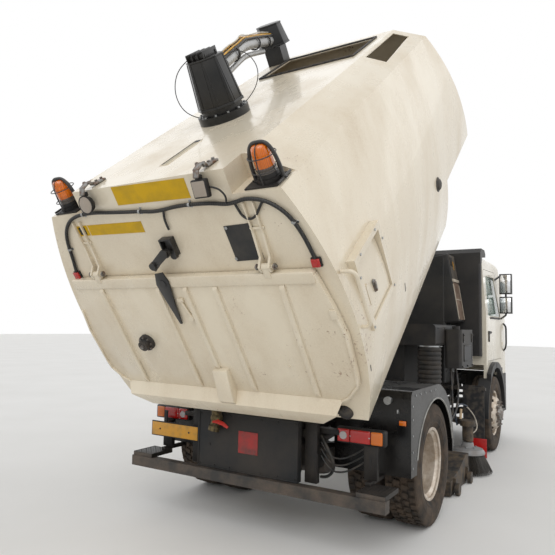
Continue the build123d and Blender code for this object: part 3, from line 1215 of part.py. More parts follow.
# Hopper body: a ruled loft between a rear and a front section, cut to its side outline. Drawn
# again further in, it gives the inside of the walls.
def hopper_body(inset):
    with BuildPart() as body:
        for end, roof, shoulder in (
            (0, HOPPER_HEIGHT, SHOULDER_HEIGHT),
            (NOSE_LENGTH, HOPPER_HEIGHT - ROOF_DROP, SHOULDER_HEIGHT - 60),
        ):
            with BuildSketch(hopper_section.offset(end)):
                with BuildLine():
                    Line((-FLOOR_HALF_WIDTH, 0), (FLOOR_HALF_WIDTH, 0))
                    ThreePointArc(
                        (FLOOR_HALF_WIDTH, 0),
                        (BELLY_HALF_WIDTH, BELLY_HEIGHT),
                        (SHOULDER_HALF_WIDTH, shoulder),
                    )
                    Polyline(
                        (SHOULDER_HALF_WIDTH, shoulder),
                        (ROOF_HALF_WIDTH, roof),
                        (-ROOF_HALF_WIDTH, roof),
                        (-SHOULDER_HALF_WIDTH, shoulder),
                    )
                    ThreePointArc(
                        (-SHOULDER_HALF_WIDTH, shoulder),
                        (-BELLY_HALF_WIDTH, BELLY_HEIGHT),
                        (-FLOOR_HALF_WIDTH, 0),
                    )
                make_face()
                offset(amount=-inset, kind=Kind.INTERSECTION)
        loft(ruled=True)
        with BuildSketch(hopper_side):
            outline(
                (0, 0),
                (FLOOR_LENGTH, 0),
                (FLOOR_LENGTH - 30, NOSE_UNDERSIDE),
                (NOSE_LENGTH - 1, NOSE_UNDERSIDE),
                (NOSE_LENGTH - NOSE_LEAN, 1800),
                (NOSE_LENGTH - NOSE_LEAN - 22, 2000),
                (REAR_LEAN * 2000 / HOPPER_HEIGHT, 2000),
            )
            offset(amount=-inset, kind=Kind.INTERSECTION)
        extrude(amount=BELLY_HALF_WIDTH + 100, both=True, mode=Mode.INTERSECT)
        # Notches in the rear top corners where the beacons stand
        for side in (-1, 1):
            notch_u = NOTCH_U + inset
            notch_y = NOTCH_Y - inset
            with Locations(hopper_floor):
                with Locations((notch_u / 2 - 100, side * (notch_y + 300), NOTCH_W - inset + 150)):
                    Box(notch_u + 200, 600, 300, mode=Mode.SUBTRACT)
    return body.part


def pair(middle, width):
    """Side planes for two like plates of this width, one each side of the hopper's middle."""
    return hopper_side.offset(middle - width / 2), hopper_side.offset(-middle - width / 2)


hopper_outer = hopper_body(0)
hopper_inner = hopper_body(HOPPER_WALL)
hopper_outer_fit = hopper_body(-SEAT_GAP)

DOOR_FLANGE = 70
LUG_Y = RAIL_OUTER_Y + (BRACKET_OFFSETS[0] + BRACKET_PLATE + BRACKET_OFFSETS[1]) / 2
LUG_WIDTH = BRACKET_OFFSETS[1] - BRACKET_OFFSETS[0] - BRACKET_PLATE - 12
PIN_REACH = BRACKET_OFFSETS[1] + BRACKET_PLATE + 14 - BRACKET_OFFSETS[0] + 4
ROOF_INLET = (2670, 3360, -550, 430)  # u from, u to, y from, y to
CORNER_INLET = (2560, 3480)
HATCH = (200, 700, 620, 1150)  # u from, u to, w from, w to
HATCH_FRAME = 45
with BuildPart() as hopper_shell:
    add(hopper_outer)
    add(hopper_inner, mode=Mode.SUBTRACT)
    # Door opening in the rear wall
    with BuildSketch(rear_face.offset(-60)):
        outline(
            (-940, 30),
            (940, 30),
            (1040, 330),
            (1050, 830),
            (1000, UPPER_PANEL_BOTTOM - 40),
            (-1000, UPPER_PANEL_BOTTOM - 40),
            (-1050, 830),
            (-1040, 330),
        )
    extrude(amount=120, mode=Mode.SUBTRACT)
    # Roof inlet, and the inlet in the chamfer beside it on the right
    with BuildSketch(hopper_floor.offset(HOPPER_HEIGHT - 160)):
        with Locations(((ROOF_INLET[0] + ROOF_INLET[1]) / 2, (ROOF_INLET[2] + ROOF_INLET[3]) / 2)):
            RectangleRounded(ROOF_INLET[1] - ROOF_INLET[0], ROOF_INLET[3] - ROOF_INLET[2], 30)
        inlet_y = -(ROOF_HALF_WIDTH + SHOULDER_HALF_WIDTH) / 2
        with Locations(((CORNER_INLET[0] + CORNER_INLET[1]) / 2, inlet_y)):
            Rectangle(CORNER_INLET[1] - CORNER_INLET[0], SHOULDER_HALF_WIDTH - ROOF_HALF_WIDTH - 60)
    extrude(amount=200, mode=Mode.SUBTRACT)
    # Hatch opening on the right side
    with BuildSketch(hopper_side.offset(SHOULDER_HALF_WIDTH)):
        with Locations(((HATCH[0] + HATCH[1]) / 2, (HATCH[2] + HATCH[3]) / 2)):
            Rectangle(HATCH[1] - HATCH[0] - 2 * HATCH_FRAME, HATCH[3] - HATCH[2] - 2 * HATCH_FRAME)
    extrude(amount=400, mode=Mode.SUBTRACT)
    # Runners, hinge lugs with their pins, and lugs for the tipping rods
    with BuildSketch(*pair(RUNNER_Y, RUNNER_WIDTH)):
        outline((232, 1), (232, -RUNNER_HEIGHT), (2360, -RUNNER_HEIGHT), (2420, -60), (2420, 1))
    extrude(amount=RUNNER_WIDTH)
    with BuildSketch(*pair(LUG_Y, LUG_WIDTH)):
        outline(
            (PIVOT_U - 150, 1),
            (PIVOT_U - 150, -40),
            (PIVOT_U - 48, -PIVOT_DROP),
            (PIVOT_U + 48, -PIVOT_DROP),
            (PIVOT_U + 170, -40),
            (PIVOT_U + 170, 1),
        )
        with Locations((PIVOT_U, -PIVOT_DROP)):
            Circle(50)
    extrude(amount=LUG_WIDTH)
    with BuildSketch(*pair(LUG_Y, PIN_REACH)):
        with Locations((PIVOT_U, -PIVOT_DROP)):
            Circle(PIVOT_PIN_RADIUS)
    extrude(amount=PIN_REACH)
    for middle in (-RAM_Y, RAM_Y):
        inner_lug = middle - RAM_EYE_WIDTH / 2 - 20
        outer_lug = middle + RAM_EYE_WIDTH / 2 + 6
        with BuildSketch(hopper_side.offset(inner_lug), hopper_side.offset(outer_lug)):
            outline(
                (RAM_EYE_U - 120, 1),
                (RAM_EYE_U - 30, -RAM_EYE_DROP - 28),
                (RAM_EYE_U + 30, -RAM_EYE_DROP - 28),
                (RAM_EYE_U + 120, 1),
            )
            with Locations((RAM_EYE_U, -RAM_EYE_DROP)):
                Circle(20.5, mode=Mode.SUBTRACT)
        extrude(amount=14)
    # Door hinge fins on the rear face
    with BuildSketch(*[rear_side.offset(y + step) for y in (-745, 745) for step in (-42, 26)]):
        outline((-4, 1222), (66, 1222), (80, 1262), (30, 1310), (18, 1480), (-4, 1500))
        with Locations((DOOR_AXIS_OUT, DOOR_AXIS_UP)):
            Circle(14.5, mode=Mode.SUBTRACT)
    extrude(amount=16)
save(hopper_shell, "hopper_shell")

# Rear door: a flat slab under its top bar, ribs, and a lower facet that flares to a lip
DOOR_GAP = 4
DOOR_THICKNESS = 46
LIP_OUT = 135
LIP_DROP = 95
with BuildPart() as rear_door:
    with BuildSketch(rear_face.offset(DOOR_GAP)):
        half = ((1055, 1185), (1119, 927), (1152, 729), (1140, 413), (1129, 340))
        outline(*half, *[(-x, y) for x, y in reversed(half)])
    extrude(amount=DOOR_THICKNESS)
    with BuildSketch(rear_face.offset(DOOR_GAP)):
        half = ((1129, 342), (1046, 242), (961, 161), (835, 6))
        outline(*half, *[(-x, y) for x, y in reversed(half)])
    extrude(amount=DOOR_THICKNESS)
    with BuildSketch(rear_side.offset(-1060)):
        outline(
            (DOOR_GAP + DOOR_THICKNESS - 1, 338),
            (DOOR_GAP + DOOR_THICKNESS + LIP_OUT, -LIP_DROP),
            (DOOR_GAP + DOOR_THICKNESS + LIP_OUT - 30, -LIP_DROP),
            (DOOR_GAP + DOOR_THICKNESS - 1, 4),
        )
    extrude(amount=2120)
    with BuildSketch(rear_face):
        half = ((1152, 729), (1140, 413), (1129, 342), (1060, 230), (1030, -200))
        outline((1152, 1300), *half, *[(-x, y) for x, y in reversed(half)], (-1152, 1300))
    extrude(amount=400, mode=Mode.INTERSECT)
    # Top bar with the hinge knuckles
    with BuildSketch(rear_side.offset(-1050)):
        with Locations((DOOR_GAP + 30, 1168)):
            RectangleRounded(56, 84, 10)
    extrude(amount=2100)
    for y in (-745, 745):
        with BuildSketch(rear_side.offset(y - 24)):
            outline(
                (DOOR_AXIS_OUT - 22, DOOR_AXIS_UP),
                (DOOR_AXIS_OUT - 16, 1180),
                (DOOR_AXIS_OUT + 18, 1180),
                (DOOR_AXIS_OUT + 22, DOOR_AXIS_UP),
            )
            with Locations((DOOR_AXIS_OUT, DOOR_AXIS_UP)):
                Circle(24)
        extrude(amount=48)
        with BuildSketch(rear_side.offset(y - 50)):
            with Locations((DOOR_AXIS_OUT, DOOR_AXIS_UP)):
                Circle(14)
        extrude(amount=100)
    # Ribs
    for y in (-815, -302, -45, 200, 770):
        with BuildSketch(rear_side.offset(y - 16)):
            outline(
                (DOOR_GAP + DOOR_THICKNESS - 1, 1130),
                (DOOR_GAP + DOOR_THICKNESS + 24, 1100),
                (DOOR_GAP + DOOR_THICKNESS + 24, 360),
                (DOOR_GAP + DOOR_THICKNESS - 1, 330),
            )
        extrude(amount=32)
save(rear_door, "rear_door")

# Side hatch on the right: a box frame on the skin with a sunken lid hinged along its top
hatch_u = (HATCH[0] + HATCH[1]) / 2
hatch_length = HATCH[1] - HATCH[0] - 2 * HATCH_FRAME
HATCH_PIN = 7
HATCH_AXIS = (-1194, HATCH[3] - HATCH_FRAME - 22)
HATCH_PIN_BITE = 12
hatch_end = hopper_section.offset(HATCH[0] + HATCH_FRAME - HATCH_PIN_BITE)
with BuildPart() as hatch:
    with BuildSketch(hopper_side.offset(BELLY_HALF_WIDTH + 40)):
        with Locations((hatch_u, (HATCH[2] + HATCH[3]) / 2 - 7)):
            Rectangle(hatch_length - 12, HATCH[3] - HATCH[2] - 2 * HATCH_FRAME - 26)
    extrude(amount=-200)
    add(hopper_body(-4), mode=Mode.INTERSECT)
    add(hopper_body(8), mode=Mode.SUBTRACT)
    with BuildSketch(hatch_end.offset(RUNNING_GAP)):
        with Locations(HATCH_AXIS):
            Circle(HATCH_PIN)
    extrude(amount=hatch_length + 2 * HATCH_PIN_BITE - 2 * RUNNING_GAP)
    with BuildSketch(hopper_side.offset(BELLY_HALF_WIDTH - 8)):
        with Locations((HATCH[0] + HATCH_FRAME + 40, (HATCH[2] + HATCH[3]) / 2 - 40)):
            RectangleRounded(34, 150, 10)
    extrude(amount=24)
save(hatch, "side_hatch")

# Frame of the hatch and a grab handle behind it
HANDLE_U = 95
HANDLE_OUT = 62
with BuildPart() as hatch_frame:
    with BuildSketch(hopper_side.offset(BELLY_HALF_WIDTH + 22)):
        with Locations(((HATCH[0] + HATCH[1]) / 2, (HATCH[2] + HATCH[3]) / 2)):
            Rectangle(HATCH[1] - HATCH[0], HATCH[3] - HATCH[2])
            Rectangle(hatch_length, HATCH[3] - HATCH[2] - 2 * HATCH_FRAME, mode=Mode.SUBTRACT)
    extrude(amount=-150)
    with BuildSketch(hatch_end):
        with Locations(HATCH_AXIS):
            Circle(HATCH_PIN + RUNNING_GAP)
    extrude(amount=hatch_length + 2 * HATCH_PIN_BITE, mode=Mode.SUBTRACT)
    add(hopper_outer_fit, mode=Mode.SUBTRACT)
    with BuildLine() as handle_line:
        FilletPolyline(
            hopper_side.from_local_coords(Vector(HANDLE_U, 740, BELLY_HALF_WIDTH - 4)),
            hopper_side.from_local_coords(Vector(HANDLE_U, 740, BELLY_HALF_WIDTH + HANDLE_OUT)),
            hopper_side.from_local_coords(Vector(HANDLE_U, 1150, BELLY_HALF_WIDTH + HANDLE_OUT)),
            hopper_side.from_local_coords(Vector(HANDLE_U, 1150, BELLY_HALF_WIDTH - 30)),
            radius=40,
        )
    with BuildSketch(handle_line.line ^ 0):
        Circle(12)
    sweep()
    add(hopper_outer_fit, mode=Mode.SUBTRACT)
save(hatch_frame, "hatch_frame")

# Beacons in the notches at the rear corners of the roof, each on a low pad
BEACON_U = 205
BEACON_Y = 860
BEACON_PAD = 34
BEACON_RADIUS = 66
with BuildPart() as pads:
    with Locations(hopper_floor):
        with Locations((BEACON_U, BEACON_Y - 20, NOTCH_W + SEAT_GAP + 5)):
            Box(190, 220, 10)
        with Locations((BEACON_U, BEACON_Y, NOTCH_W + SEAT_GAP + BEACON_PAD / 2)):
            Cylinder(78, BEACON_PAD)
    mirror(about=Plane.XZ)
save(pads, "beacon_pads")

with BuildPart() as beacons:
    with BuildSketch(Plane(hopper_side.offset(-BEACON_Y).location)):
        beacon_foot = NOTCH_W + BEACON_PAD + 2 * SEAT_GAP
        outline(
            (BEACON_U, beacon_foot),
            (BEACON_U + BEACON_RADIUS, beacon_foot),
            (BEACON_U + BEACON_RADIUS, beacon_foot + 150),
            (BEACON_U + BEACON_RADIUS - 18, beacon_foot + 182),
            (BEACON_U, beacon_foot + 196),
        )
    beacon_centre = hopper_side.from_local_coords(Vector(BEACON_U, 0, -BEACON_Y))
    revolve(axis=Axis(beacon_centre, upright))
    mirror(about=Plane.XZ)
save(beacons, "beacon_lenses")

# Work lamps on the rear edge of the roof: a round one on the left, a square one on the right
LAMP_U = 120
LAMP_OUT_Y = 490
with BuildPart() as work_lamps:
    with Locations(hopper_floor):
        with Locations((LAMP_U, LAMP_OUT_Y, HOPPER_HEIGHT + 62)):
            Cylinder(62, 60, rotation=(0, 90, 0))
        with Locations((LAMP_U, -LAMP_OUT_Y, HOPPER_HEIGHT + 66)):
            Box(60, 120, 110)
        with Locations((LAMP_U + 20, LAMP_OUT_Y, HOPPER_HEIGHT + 10), (LAMP_U + 20, -LAMP_OUT_Y, HOPPER_HEIGHT + 10)):
            Box(40, 50, 60)
    add(hopper_outer_fit, mode=Mode.SUBTRACT)
save(work_lamps, "work_lamps")

# Boom on the roof: a faceted turning post, its arm and the rest that holds the arm's end
POST_U = 1350
POST_Y = 90
POST_FLANGE = 210
POST_FOOT_HEIGHT = 60
REST_U = 3360
REST_Y = 560
ARM_W = 330
roof_forward = (forward * NOSE_LENGTH - upright * ROOF_DROP).normalized()
roof_up = Vector(-roof_forward.Z, 0, roof_forward.X)
roof = Plane(origin=corner + upright * HOPPER_HEIGHT, x_dir=roof_forward, z_dir=roof_up)
with BuildPart(roof) as boom_mounts:
    with Locations((POST_U, POST_Y, POST_FOOT_HEIGHT / 2 + SEAT_GAP)):
        Cylinder(POST_FLANGE, POST_FOOT_HEIGHT)
    with Locations((REST_U, REST_Y, 90)):
        Box(150, 200, 180 - 2 * SEAT_GAP)
save(boom_mounts, "boom_mounts")

with BuildPart() as boom:
    post_foot = POST_FOOT_HEIGHT + 2 * SEAT_GAP
    with BuildSketch(roof.offset(post_foot)):
        with Locations((POST_U, POST_Y)):
            Circle(170)
    extrude(amount=40)
    with BuildSketch(roof.offset(post_foot + 40)):
        with Locations((POST_U, POST_Y)):
            Rectangle(340, 380)
    with BuildSketch(roof.offset(post_foot + 430)):
        with Locations((POST_U, POST_Y)):
            Rectangle(230, 260)
    loft(ruled=True)
    start = roof.from_local_coords(Vector(POST_U + 60, POST_Y + 30, ARM_W))
    elbow = roof.from_local_coords(Vector(POST_U + 760, POST_Y + 130, ARM_W + 60))
    end = roof.from_local_coords(Vector(REST_U, REST_Y, 250))
    with BuildLine() as boom_line:
        FilletPolyline(start, elbow, end, radius=160)
    with BuildSketch(boom_line.line ^ 0):
        Circle(48)
    sweep()
    with BuildSketch(roof.offset(190)):
        with Locations((REST_U, REST_Y)):
            Rectangle(300, 330)
    with BuildSketch(roof.offset(430)):
        with Locations((REST_U, REST_Y)):
            Rectangle(210, 250)
    loft(ruled=True)
save(boom, "roof_boom")

# Lever that locks the rear door, with its rod and slotted guide on the upper panel
with BuildPart() as lever:
    with BuildSketch(rear_face.offset(SEAT_GAP)):
        with Locations((35, 1400)):
            RectangleRounded(50, 150, 20)
    extrude(amount=24)
    with BuildLine() as lever_line:
        Polyline(
            rear_face.from_local_coords(Vector(35, 1400, 14)),
            rear_face.from_local_coords(Vector(35, 1400, 74)),
            rear_face.from_local_coords(Vector(-100, 1290, 100)),
        )
    with BuildSketch(lever_line.line ^ 0):
        Circle(10)
    sweep(transition=Transition.ROUND)
save(lever, "door_lever")

with BuildPart() as drain:
    with BuildSketch(rear_face.offset(DOOR_GAP + DOOR_THICKNESS + SEAT_GAP)):
        with Locations((-550, 640)):
            Circle(66)
    extrude(amount=30)
    with BuildSketch(rear_face.offset(DOOR_GAP + DOOR_THICKNESS + SEAT_GAP + 30)):
        with Locations((-550, 640)):
            Circle(42)
    extrude(amount=40)
save(drain, "drain_valve")

# Tipping cylinders: barrels on their base pins and rods up to the eyes below the floor
ram_eye = hopper_side.from_local_coords(Vector(RAM_EYE_U, -RAM_EYE_DROP, 0))
ram_base = Vector(RAM_BASE_X, 0, RAM_BASE_Z)
ram_way = (ram_eye - ram_base).normalized()
ram_reach = (ram_eye - ram_base).length
for name, side in sides:
    foot = ram_base + Vector(0, side * RAM_Y, 0)
    with BuildPart() as barrel:
        with BuildSketch(Plane.XZ.offset(-side * RAM_Y - RAM_EYE_WIDTH / 2)):
            with Locations((RAM_BASE_X, RAM_BASE_Z)):
                Circle(RAM_BARREL_RADIUS - 3)
        extrude(amount=RAM_EYE_WIDTH)
        with BuildSketch(Plane.XZ.offset(-side * RAM_Y - RAM_EYE_WIDTH / 2 - 24)):
            with Locations((RAM_BASE_X, RAM_BASE_Z)):
                Circle(RAM_PIN_RADIUS)
        extrude(amount=RAM_EYE_WIDTH + 48)
        with BuildSketch(Plane(origin=foot, x_dir=(0, 1, 0), z_dir=ram_way)):
            Rectangle(RAM_EYE_WIDTH, 2 * RAM_BARREL_RADIUS - 6)
        extrude(amount=64)
        with BuildSketch(Plane(origin=foot + ram_way * 62, z_dir=ram_way)):
            Circle(RAM_BARREL_RADIUS)
        extrude(amount=RAM_BARREL_LENGTH - 62)
        with BuildSketch(Plane(origin=foot + ram_way * (RAM_BARREL_LENGTH - 60), z_dir=ram_way)):
            Circle(RAM_BARREL_RADIUS + 9)
        extrude(amount=60)
        with BuildSketch(Plane(origin=foot + ram_way * 78, z_dir=ram_way)):
            Circle(RAM_ROD_RADIUS + RUNNING_GAP)
        extrude(amount=RAM_BARREL_LENGTH, mode=Mode.SUBTRACT)
    save(barrel, f"tip_barrel_{name}")
    with BuildPart() as rod:
        with BuildSketch(Plane(origin=foot + ram_way * (ram_reach - RAM_ROD_LENGTH), z_dir=ram_way)):
            Circle(RAM_ROD_RADIUS)
        extrude(amount=RAM_ROD_LENGTH - 20)
        rod_eye = foot + ram_way * ram_reach
        with BuildSketch(Plane.XZ.offset(-side * RAM_Y - RAM_EYE_WIDTH / 2)):
            with Locations((rod_eye.X, rod_eye.Z)):
                Circle(38)
        extrude(amount=RAM_EYE_WIDTH)
        with BuildSketch(Plane.XZ.offset(-side * RAM_Y - RAM_EYE_WIDTH / 2)):
            with Locations((rod_eye.X, rod_eye.Z)):
                Circle(20.5)
        extrude(amount=RAM_EYE_WIDTH, mode=Mode.SUBTRACT)
    save(rod, f"tip_rod_{name}")
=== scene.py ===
from math import cos, pi, radians, sin

import bmesh
import bpy
from mathutils import Matrix, Vector


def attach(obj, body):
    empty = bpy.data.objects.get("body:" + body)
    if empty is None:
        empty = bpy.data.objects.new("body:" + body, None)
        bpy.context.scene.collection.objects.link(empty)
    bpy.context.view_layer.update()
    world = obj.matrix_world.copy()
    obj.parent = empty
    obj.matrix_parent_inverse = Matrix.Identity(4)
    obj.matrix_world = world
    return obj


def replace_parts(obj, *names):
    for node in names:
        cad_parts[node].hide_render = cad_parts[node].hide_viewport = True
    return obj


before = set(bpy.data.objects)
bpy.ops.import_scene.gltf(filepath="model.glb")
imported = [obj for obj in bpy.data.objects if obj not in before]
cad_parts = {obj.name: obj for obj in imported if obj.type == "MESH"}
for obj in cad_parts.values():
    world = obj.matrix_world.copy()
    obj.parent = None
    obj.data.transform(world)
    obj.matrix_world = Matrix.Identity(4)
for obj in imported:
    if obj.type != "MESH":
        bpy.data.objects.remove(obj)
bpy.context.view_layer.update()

# The workshop is left out: the truck stands on a plain pale floor under soft even light, seen
# from behind its right corner at standing height, as in the photograph.
camera_yaw = 0.546
camera_pitch = 0.087
camera_roll = 0.021
looking = Vector((
    cos(camera_yaw) * cos(camera_pitch),
    sin(camera_yaw) * cos(camera_pitch),
    sin(camera_pitch),
))
rightward = Vector((sin(camera_yaw), -cos(camera_yaw), 0))
skyward = rightward.cross(looking)
rolled_right = rightward * cos(camera_roll) + skyward * sin(camera_roll)
rolled_up = skyward * cos(camera_roll) - rightward * sin(camera_roll)
camera = bpy.data.objects.new("camera", bpy.data.cameras.new("camera"))
camera.data.sensor_width = 36
camera.data.lens = 36
camera.matrix_world = Matrix((rolled_right, rolled_up, -looking)).transposed().to_4x4()
camera.location = (-5.995, -2.542, 1.648)
bpy.context.scene.collection.objects.link(camera)
bpy.context.scene.camera = camera
bpy.context.scene.view_settings.view_transform = "Standard"


def shade(code):
    """A colour written as sRGB hex, turned to linear."""
    parts = [int(code[at:at + 2], 16) / 255 for at in (0, 2, 4)]
    return tuple(p / 12.92 if p < 0.04045 else ((p + 0.055) / 1.055) ** 2.4 for p in parts) + (1,)


def add_node(owner, kind, inputs=None, **settings):
    """One shader node with its settings; each input is a plain value or another node's output."""
    made = owner.node_tree.nodes.new("ShaderNode" + kind)
    for name, value in settings.items():
        setattr(made, name, value)
    for name, value in (inputs or {}).items():
        if isinstance(value, bpy.types.NodeSocket):
            owner.node_tree.links.new(value, made.inputs[name])
        else:
            made.inputs[name].default_value = value
    return made


for lamp_name, power, soft, turn in (
    ("key", 1.25, 0.9, (radians(52), 0, radians(-72))),
    ("side_fill", 0.62, 1.2, (radians(58), 0, radians(28))),
    ("front_fill", 0.4, 1.4, (radians(48), 0, radians(160))),
):
    sun = bpy.data.objects.new(lamp_name, bpy.data.lights.new(lamp_name, "SUN"))
    sun.data.energy = power
    sun.data.angle = soft
    sun.rotation_euler = turn
    bpy.context.scene.collection.objects.link(sun)

world = bpy.data.worlds.new("plain_air")
bpy.context.scene.world = world
world.use_nodes = True
world.node_tree.nodes.clear()
path = add_node(world, "LightPath")
mirrored = add_node(world, "Math", {
    0: path.outputs["Is Glossy Ray"], 1: path.outputs["Is Transmission Ray"],
}, operation="MAXIMUM")
seen = add_node(world, "Math", {
    0: path.outputs["Is Camera Ray"], 1: mirrored.outputs[0],
}, operation="MAXIMUM")
lit = add_node(world, "Background", {"Color": shade("F4F5F6"), "Strength": 0.5})
plain = add_node(world, "Background", {"Color": shade("FFFFFF"), "Strength": 1.0})
either = add_node(world, "MixShader", {0: seen.outputs[0], 1: lit.outputs[0], 2: plain.outputs[0]})
add_node(world, "OutputWorld", {"Surface": either.outputs[0]})


# Floor: pale, smooth and a little mottled, as swept concrete sealed with a light coat
def two_tone(name, fixed, pattern, tones, stops=(0.0, 1.0), rough=None, reach=(0.0, 1.0), relief=None):
    """A material whose colour runs between two tones along one pattern: a texture node's kind, its
    inputs with scales per metre, and its settings. fixed holds plain shader inputs, rough the two
    roughnesses that the pattern spreads over its reach, and relief a strength, a depth in metres
    and a pattern of its own, or none to follow the first."""
    made = bpy.data.materials.new(name)
    made.use_nodes = True
    shader = made.node_tree.nodes["Principled BSDF"]
    for socket, value in fixed.items():
        shader.inputs[socket].default_value = value
    place = add_node(made, "TexCoord")
    fields = []
    for kind, inputs, *settings in (pattern, *relief[2:]) if relief else (pattern,):
        field = add_node(made, kind, {"Vector": place.outputs["Object"], **inputs}, **dict(*settings))
        fields.append(field.outputs["Distance" if kind == "TexVoronoi" else "Fac"])
    tone = add_node(made, "ValToRGB", {"Fac": fields[0]})
    for rank in (0, 1):
        tone.color_ramp.elements[rank].position = stops[rank]
        tone.color_ramp.elements[rank].color = shade(tones[rank])
    links = made.node_tree.links
    links.new(tone.outputs["Color"], shader.inputs["Base Color"])
    if rough:
        spread = add_node(made, "MapRange", {
            "Value": fields[0], "From Min": reach[0], "From Max": reach[1], "To Min": rough[0],
            "To Max": rough[1],
        })
        links.new(spread.outputs[0], shader.inputs["Roughness"])
    if relief:
        bump = add_node(made, "Bump", {"Height": fields[-1], "Strength": relief[0], "Distance": relief[1]})
        links.new(bump.outputs[0], shader.inputs["Normal"])
    return made


floor_mesh = bmesh.new()
bmesh.ops.create_grid(floor_mesh, x_segments=1, y_segments=1, size=60)
floor_data = bpy.data.meshes.new("floor")
floor_mesh.to_mesh(floor_data)
floor_mesh.free()
floor = bpy.data.objects.new("floor", floor_data)
bpy.context.scene.collection.objects.link(floor)
pale_screed = two_tone(
    "pale_screed", {"Roughness": 0.75, "Specular IOR Level": 0.2},
    ("TexNoise", {"Scale": 0.7, "Detail": 6.0}), ("E3E2DF", "EFEEEC"),
)
floor.data.materials.append(pale_screed)


# Chassis frame: pressed channel rails and tubes under a black chassis enamel, sprayed thick over
# welds and bolts. Road dust lies on it as a dull brown film, thicker in patches.
def dusty_coat(name, tint, dust, roughness, dust_share, patch, grain, relief, gloss=0.5, turn=0.0, run=0.0):
    """A sprayed coat under a film of dust. patch and grain are sizes in metres, run draws the dust
    out into streaks down the coat's own upright, which turn tilts forward."""
    coat = bpy.data.materials.new(name)
    coat.use_nodes = True
    shader = coat.node_tree.nodes["Principled BSDF"]
    place = add_node(coat, "TexCoord")
    upright_on = add_node(coat, "Mapping", {
        "Vector": place.outputs["Object"],
        "Rotation": (0, turn, 0),
        "Scale": (1, 1, 1 - 0.93 * run),
    })
    cloud = add_node(coat, "TexNoise", {
        "Vector": upright_on.outputs[0], "Scale": 1 / patch, "Detail": 7.0, "Roughness": 0.62,
    })
    film = add_node(coat, "MapRange", {
        "Value": cloud.outputs["Fac"], "From Min": 0.38, "From Max": 0.72, "To Min": 0.0,
        "To Max": dust_share,
    })
    speck = add_node(coat, "TexNoise", {
        "Vector": place.outputs["Object"], "Scale": 1 / grain, "Detail": 3.0, "Roughness": 0.7,
    })
    spread = add_node(coat, "MapRange", {
        "Value": speck.outputs["Fac"], "From Min": 0.35, "From Max": 0.75, "To Min": 0.55, "To Max": 1.25,
    })
    amount = add_node(
        coat, "Math", {0: film.outputs[0], 1: spread.outputs[0]}, operation="MULTIPLY",
        use_clamp=True,
    )
    surface = add_node(coat, "Mix", {0: amount.outputs[0], 6: shade(tint), 7: shade(dust)}, data_type="RGBA")
    dull = add_node(coat, "MapRange", {
        "Value": amount.outputs[0], "From Min": 0.0, "From Max": 0.8, "To Min": roughness, "To Max": 0.9,
    })
    height = add_node(coat, "Bump", {"Height": speck.outputs["Fac"], "Strength": 0.35, "Distance": relief})
    links = coat.node_tree.links
    links.new(surface.outputs[2], shader.inputs["Base Color"])
    links.new(dull.outputs[0], shader.inputs["Roughness"])
    links.new(height.outputs[0], shader.inputs["Normal"])
    shader.inputs["Specular IOR Level"].default_value = gloss
    return coat


def dress(material, *names):
    """The material goes on these CAD pieces."""
    for name in names:
        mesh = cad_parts[name].data
        mesh.materials.clear()
        mesh.materials.append(material)


# Dust patches are about 300 mm across and the spray's grain about 5 mm, drawn at 9 mm to show.
chassis_enamel = dusty_coat("black_chassis_enamel", "111112", "5E554B", 0.45, 0.34, 0.30, 0.009, 0.0006, 0.3)
dress(
    chassis_enamel, "chassis_frame", "rear_axle", "front_axle", "track_rod", "knuckle_left",
    "knuckle_right",
)


# Bolt rows of the frame: zinc-plated hexagon heads on washers through the rails' webs, with the
# plating gone dull grey.


def point_of(at):
    """Where a place stands, or the point itself."""
    return Vector(at.translation if isinstance(at, Matrix) else at)


def bar(mesh, start, end, radius, sides=16, tip=None):
    """A round or many-sided bar between two points or places, its end drawn to the tip's radius."""
    foot = point_of(start)
    way = point_of(end) - foot
    turn = way.to_track_quat("Z", "Y").to_matrix().to_4x4()
    bmesh.ops.create_cone(
        mesh, cap_ends=True, segments=sides, radius1=radius, radius2=radius if tip is None else tip,
        depth=way.length, matrix=Matrix.Translation(foot + way / 2) @ turn,
    )


def piece(name, mesh, material, body, crease=35):
    """The finished mesh becomes a piece of the truck that rides on this CAD body."""
    data = bpy.data.meshes.new(name)
    mesh.to_mesh(data)
    mesh.free()
    data.materials.append(material)
    data.shade_smooth()
    data.set_sharp_from_angle(angle=radians(crease))
    made = bpy.data.objects.new(name, data)
    bpy.context.scene.collection.objects.link(made)
    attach(made, body)
    return made


# Spangle of the plating, 6 mm across
zinc = two_tone(
    "zinc_plated_steel", {"Metallic": 1.0}, ("TexVoronoi", {"Scale": 160.0}),
    ("8F9192", "B9BBBB"), rough=(0.34, 0.52),
)

rail_web, washer_top, bolt_top = 0.4295, 0.433, 0.443
bolts = bmesh.new()
for side in (-1, 1):
    for x in (-2.12, -2.05, -1.62, -1.44, -0.90, -0.72, -0.52, 0.02, 0.32, 0.95, 1.35, 1.75, 2.9, 3.05):
        for z in (0.80, 0.88):
            bar(bolts, (x, side * rail_web, z), (x, side * washer_top, z), 0.016)
            bar(bolts, (x, side * washer_top, z), (x, side * bolt_top, z), 0.0125, 6)
piece("frame_bolts", bolts, zinc, "chassis")

# Air and brake lines: black nylon pipes in a bundle along the inside of the left rail, with
# branches on both sides down to the rear and front axles' brakes. Dust lies in 70 mm clouds.
nylon = two_tone(
    "black_nylon_pipe", {"IOR": 1.53}, ("TexNoise", {"Scale": 14.0, "Detail": 5.0}),
    ("141414", "4B443C"), (0.45, 0.8), rough=(0.3, 0.75),
)


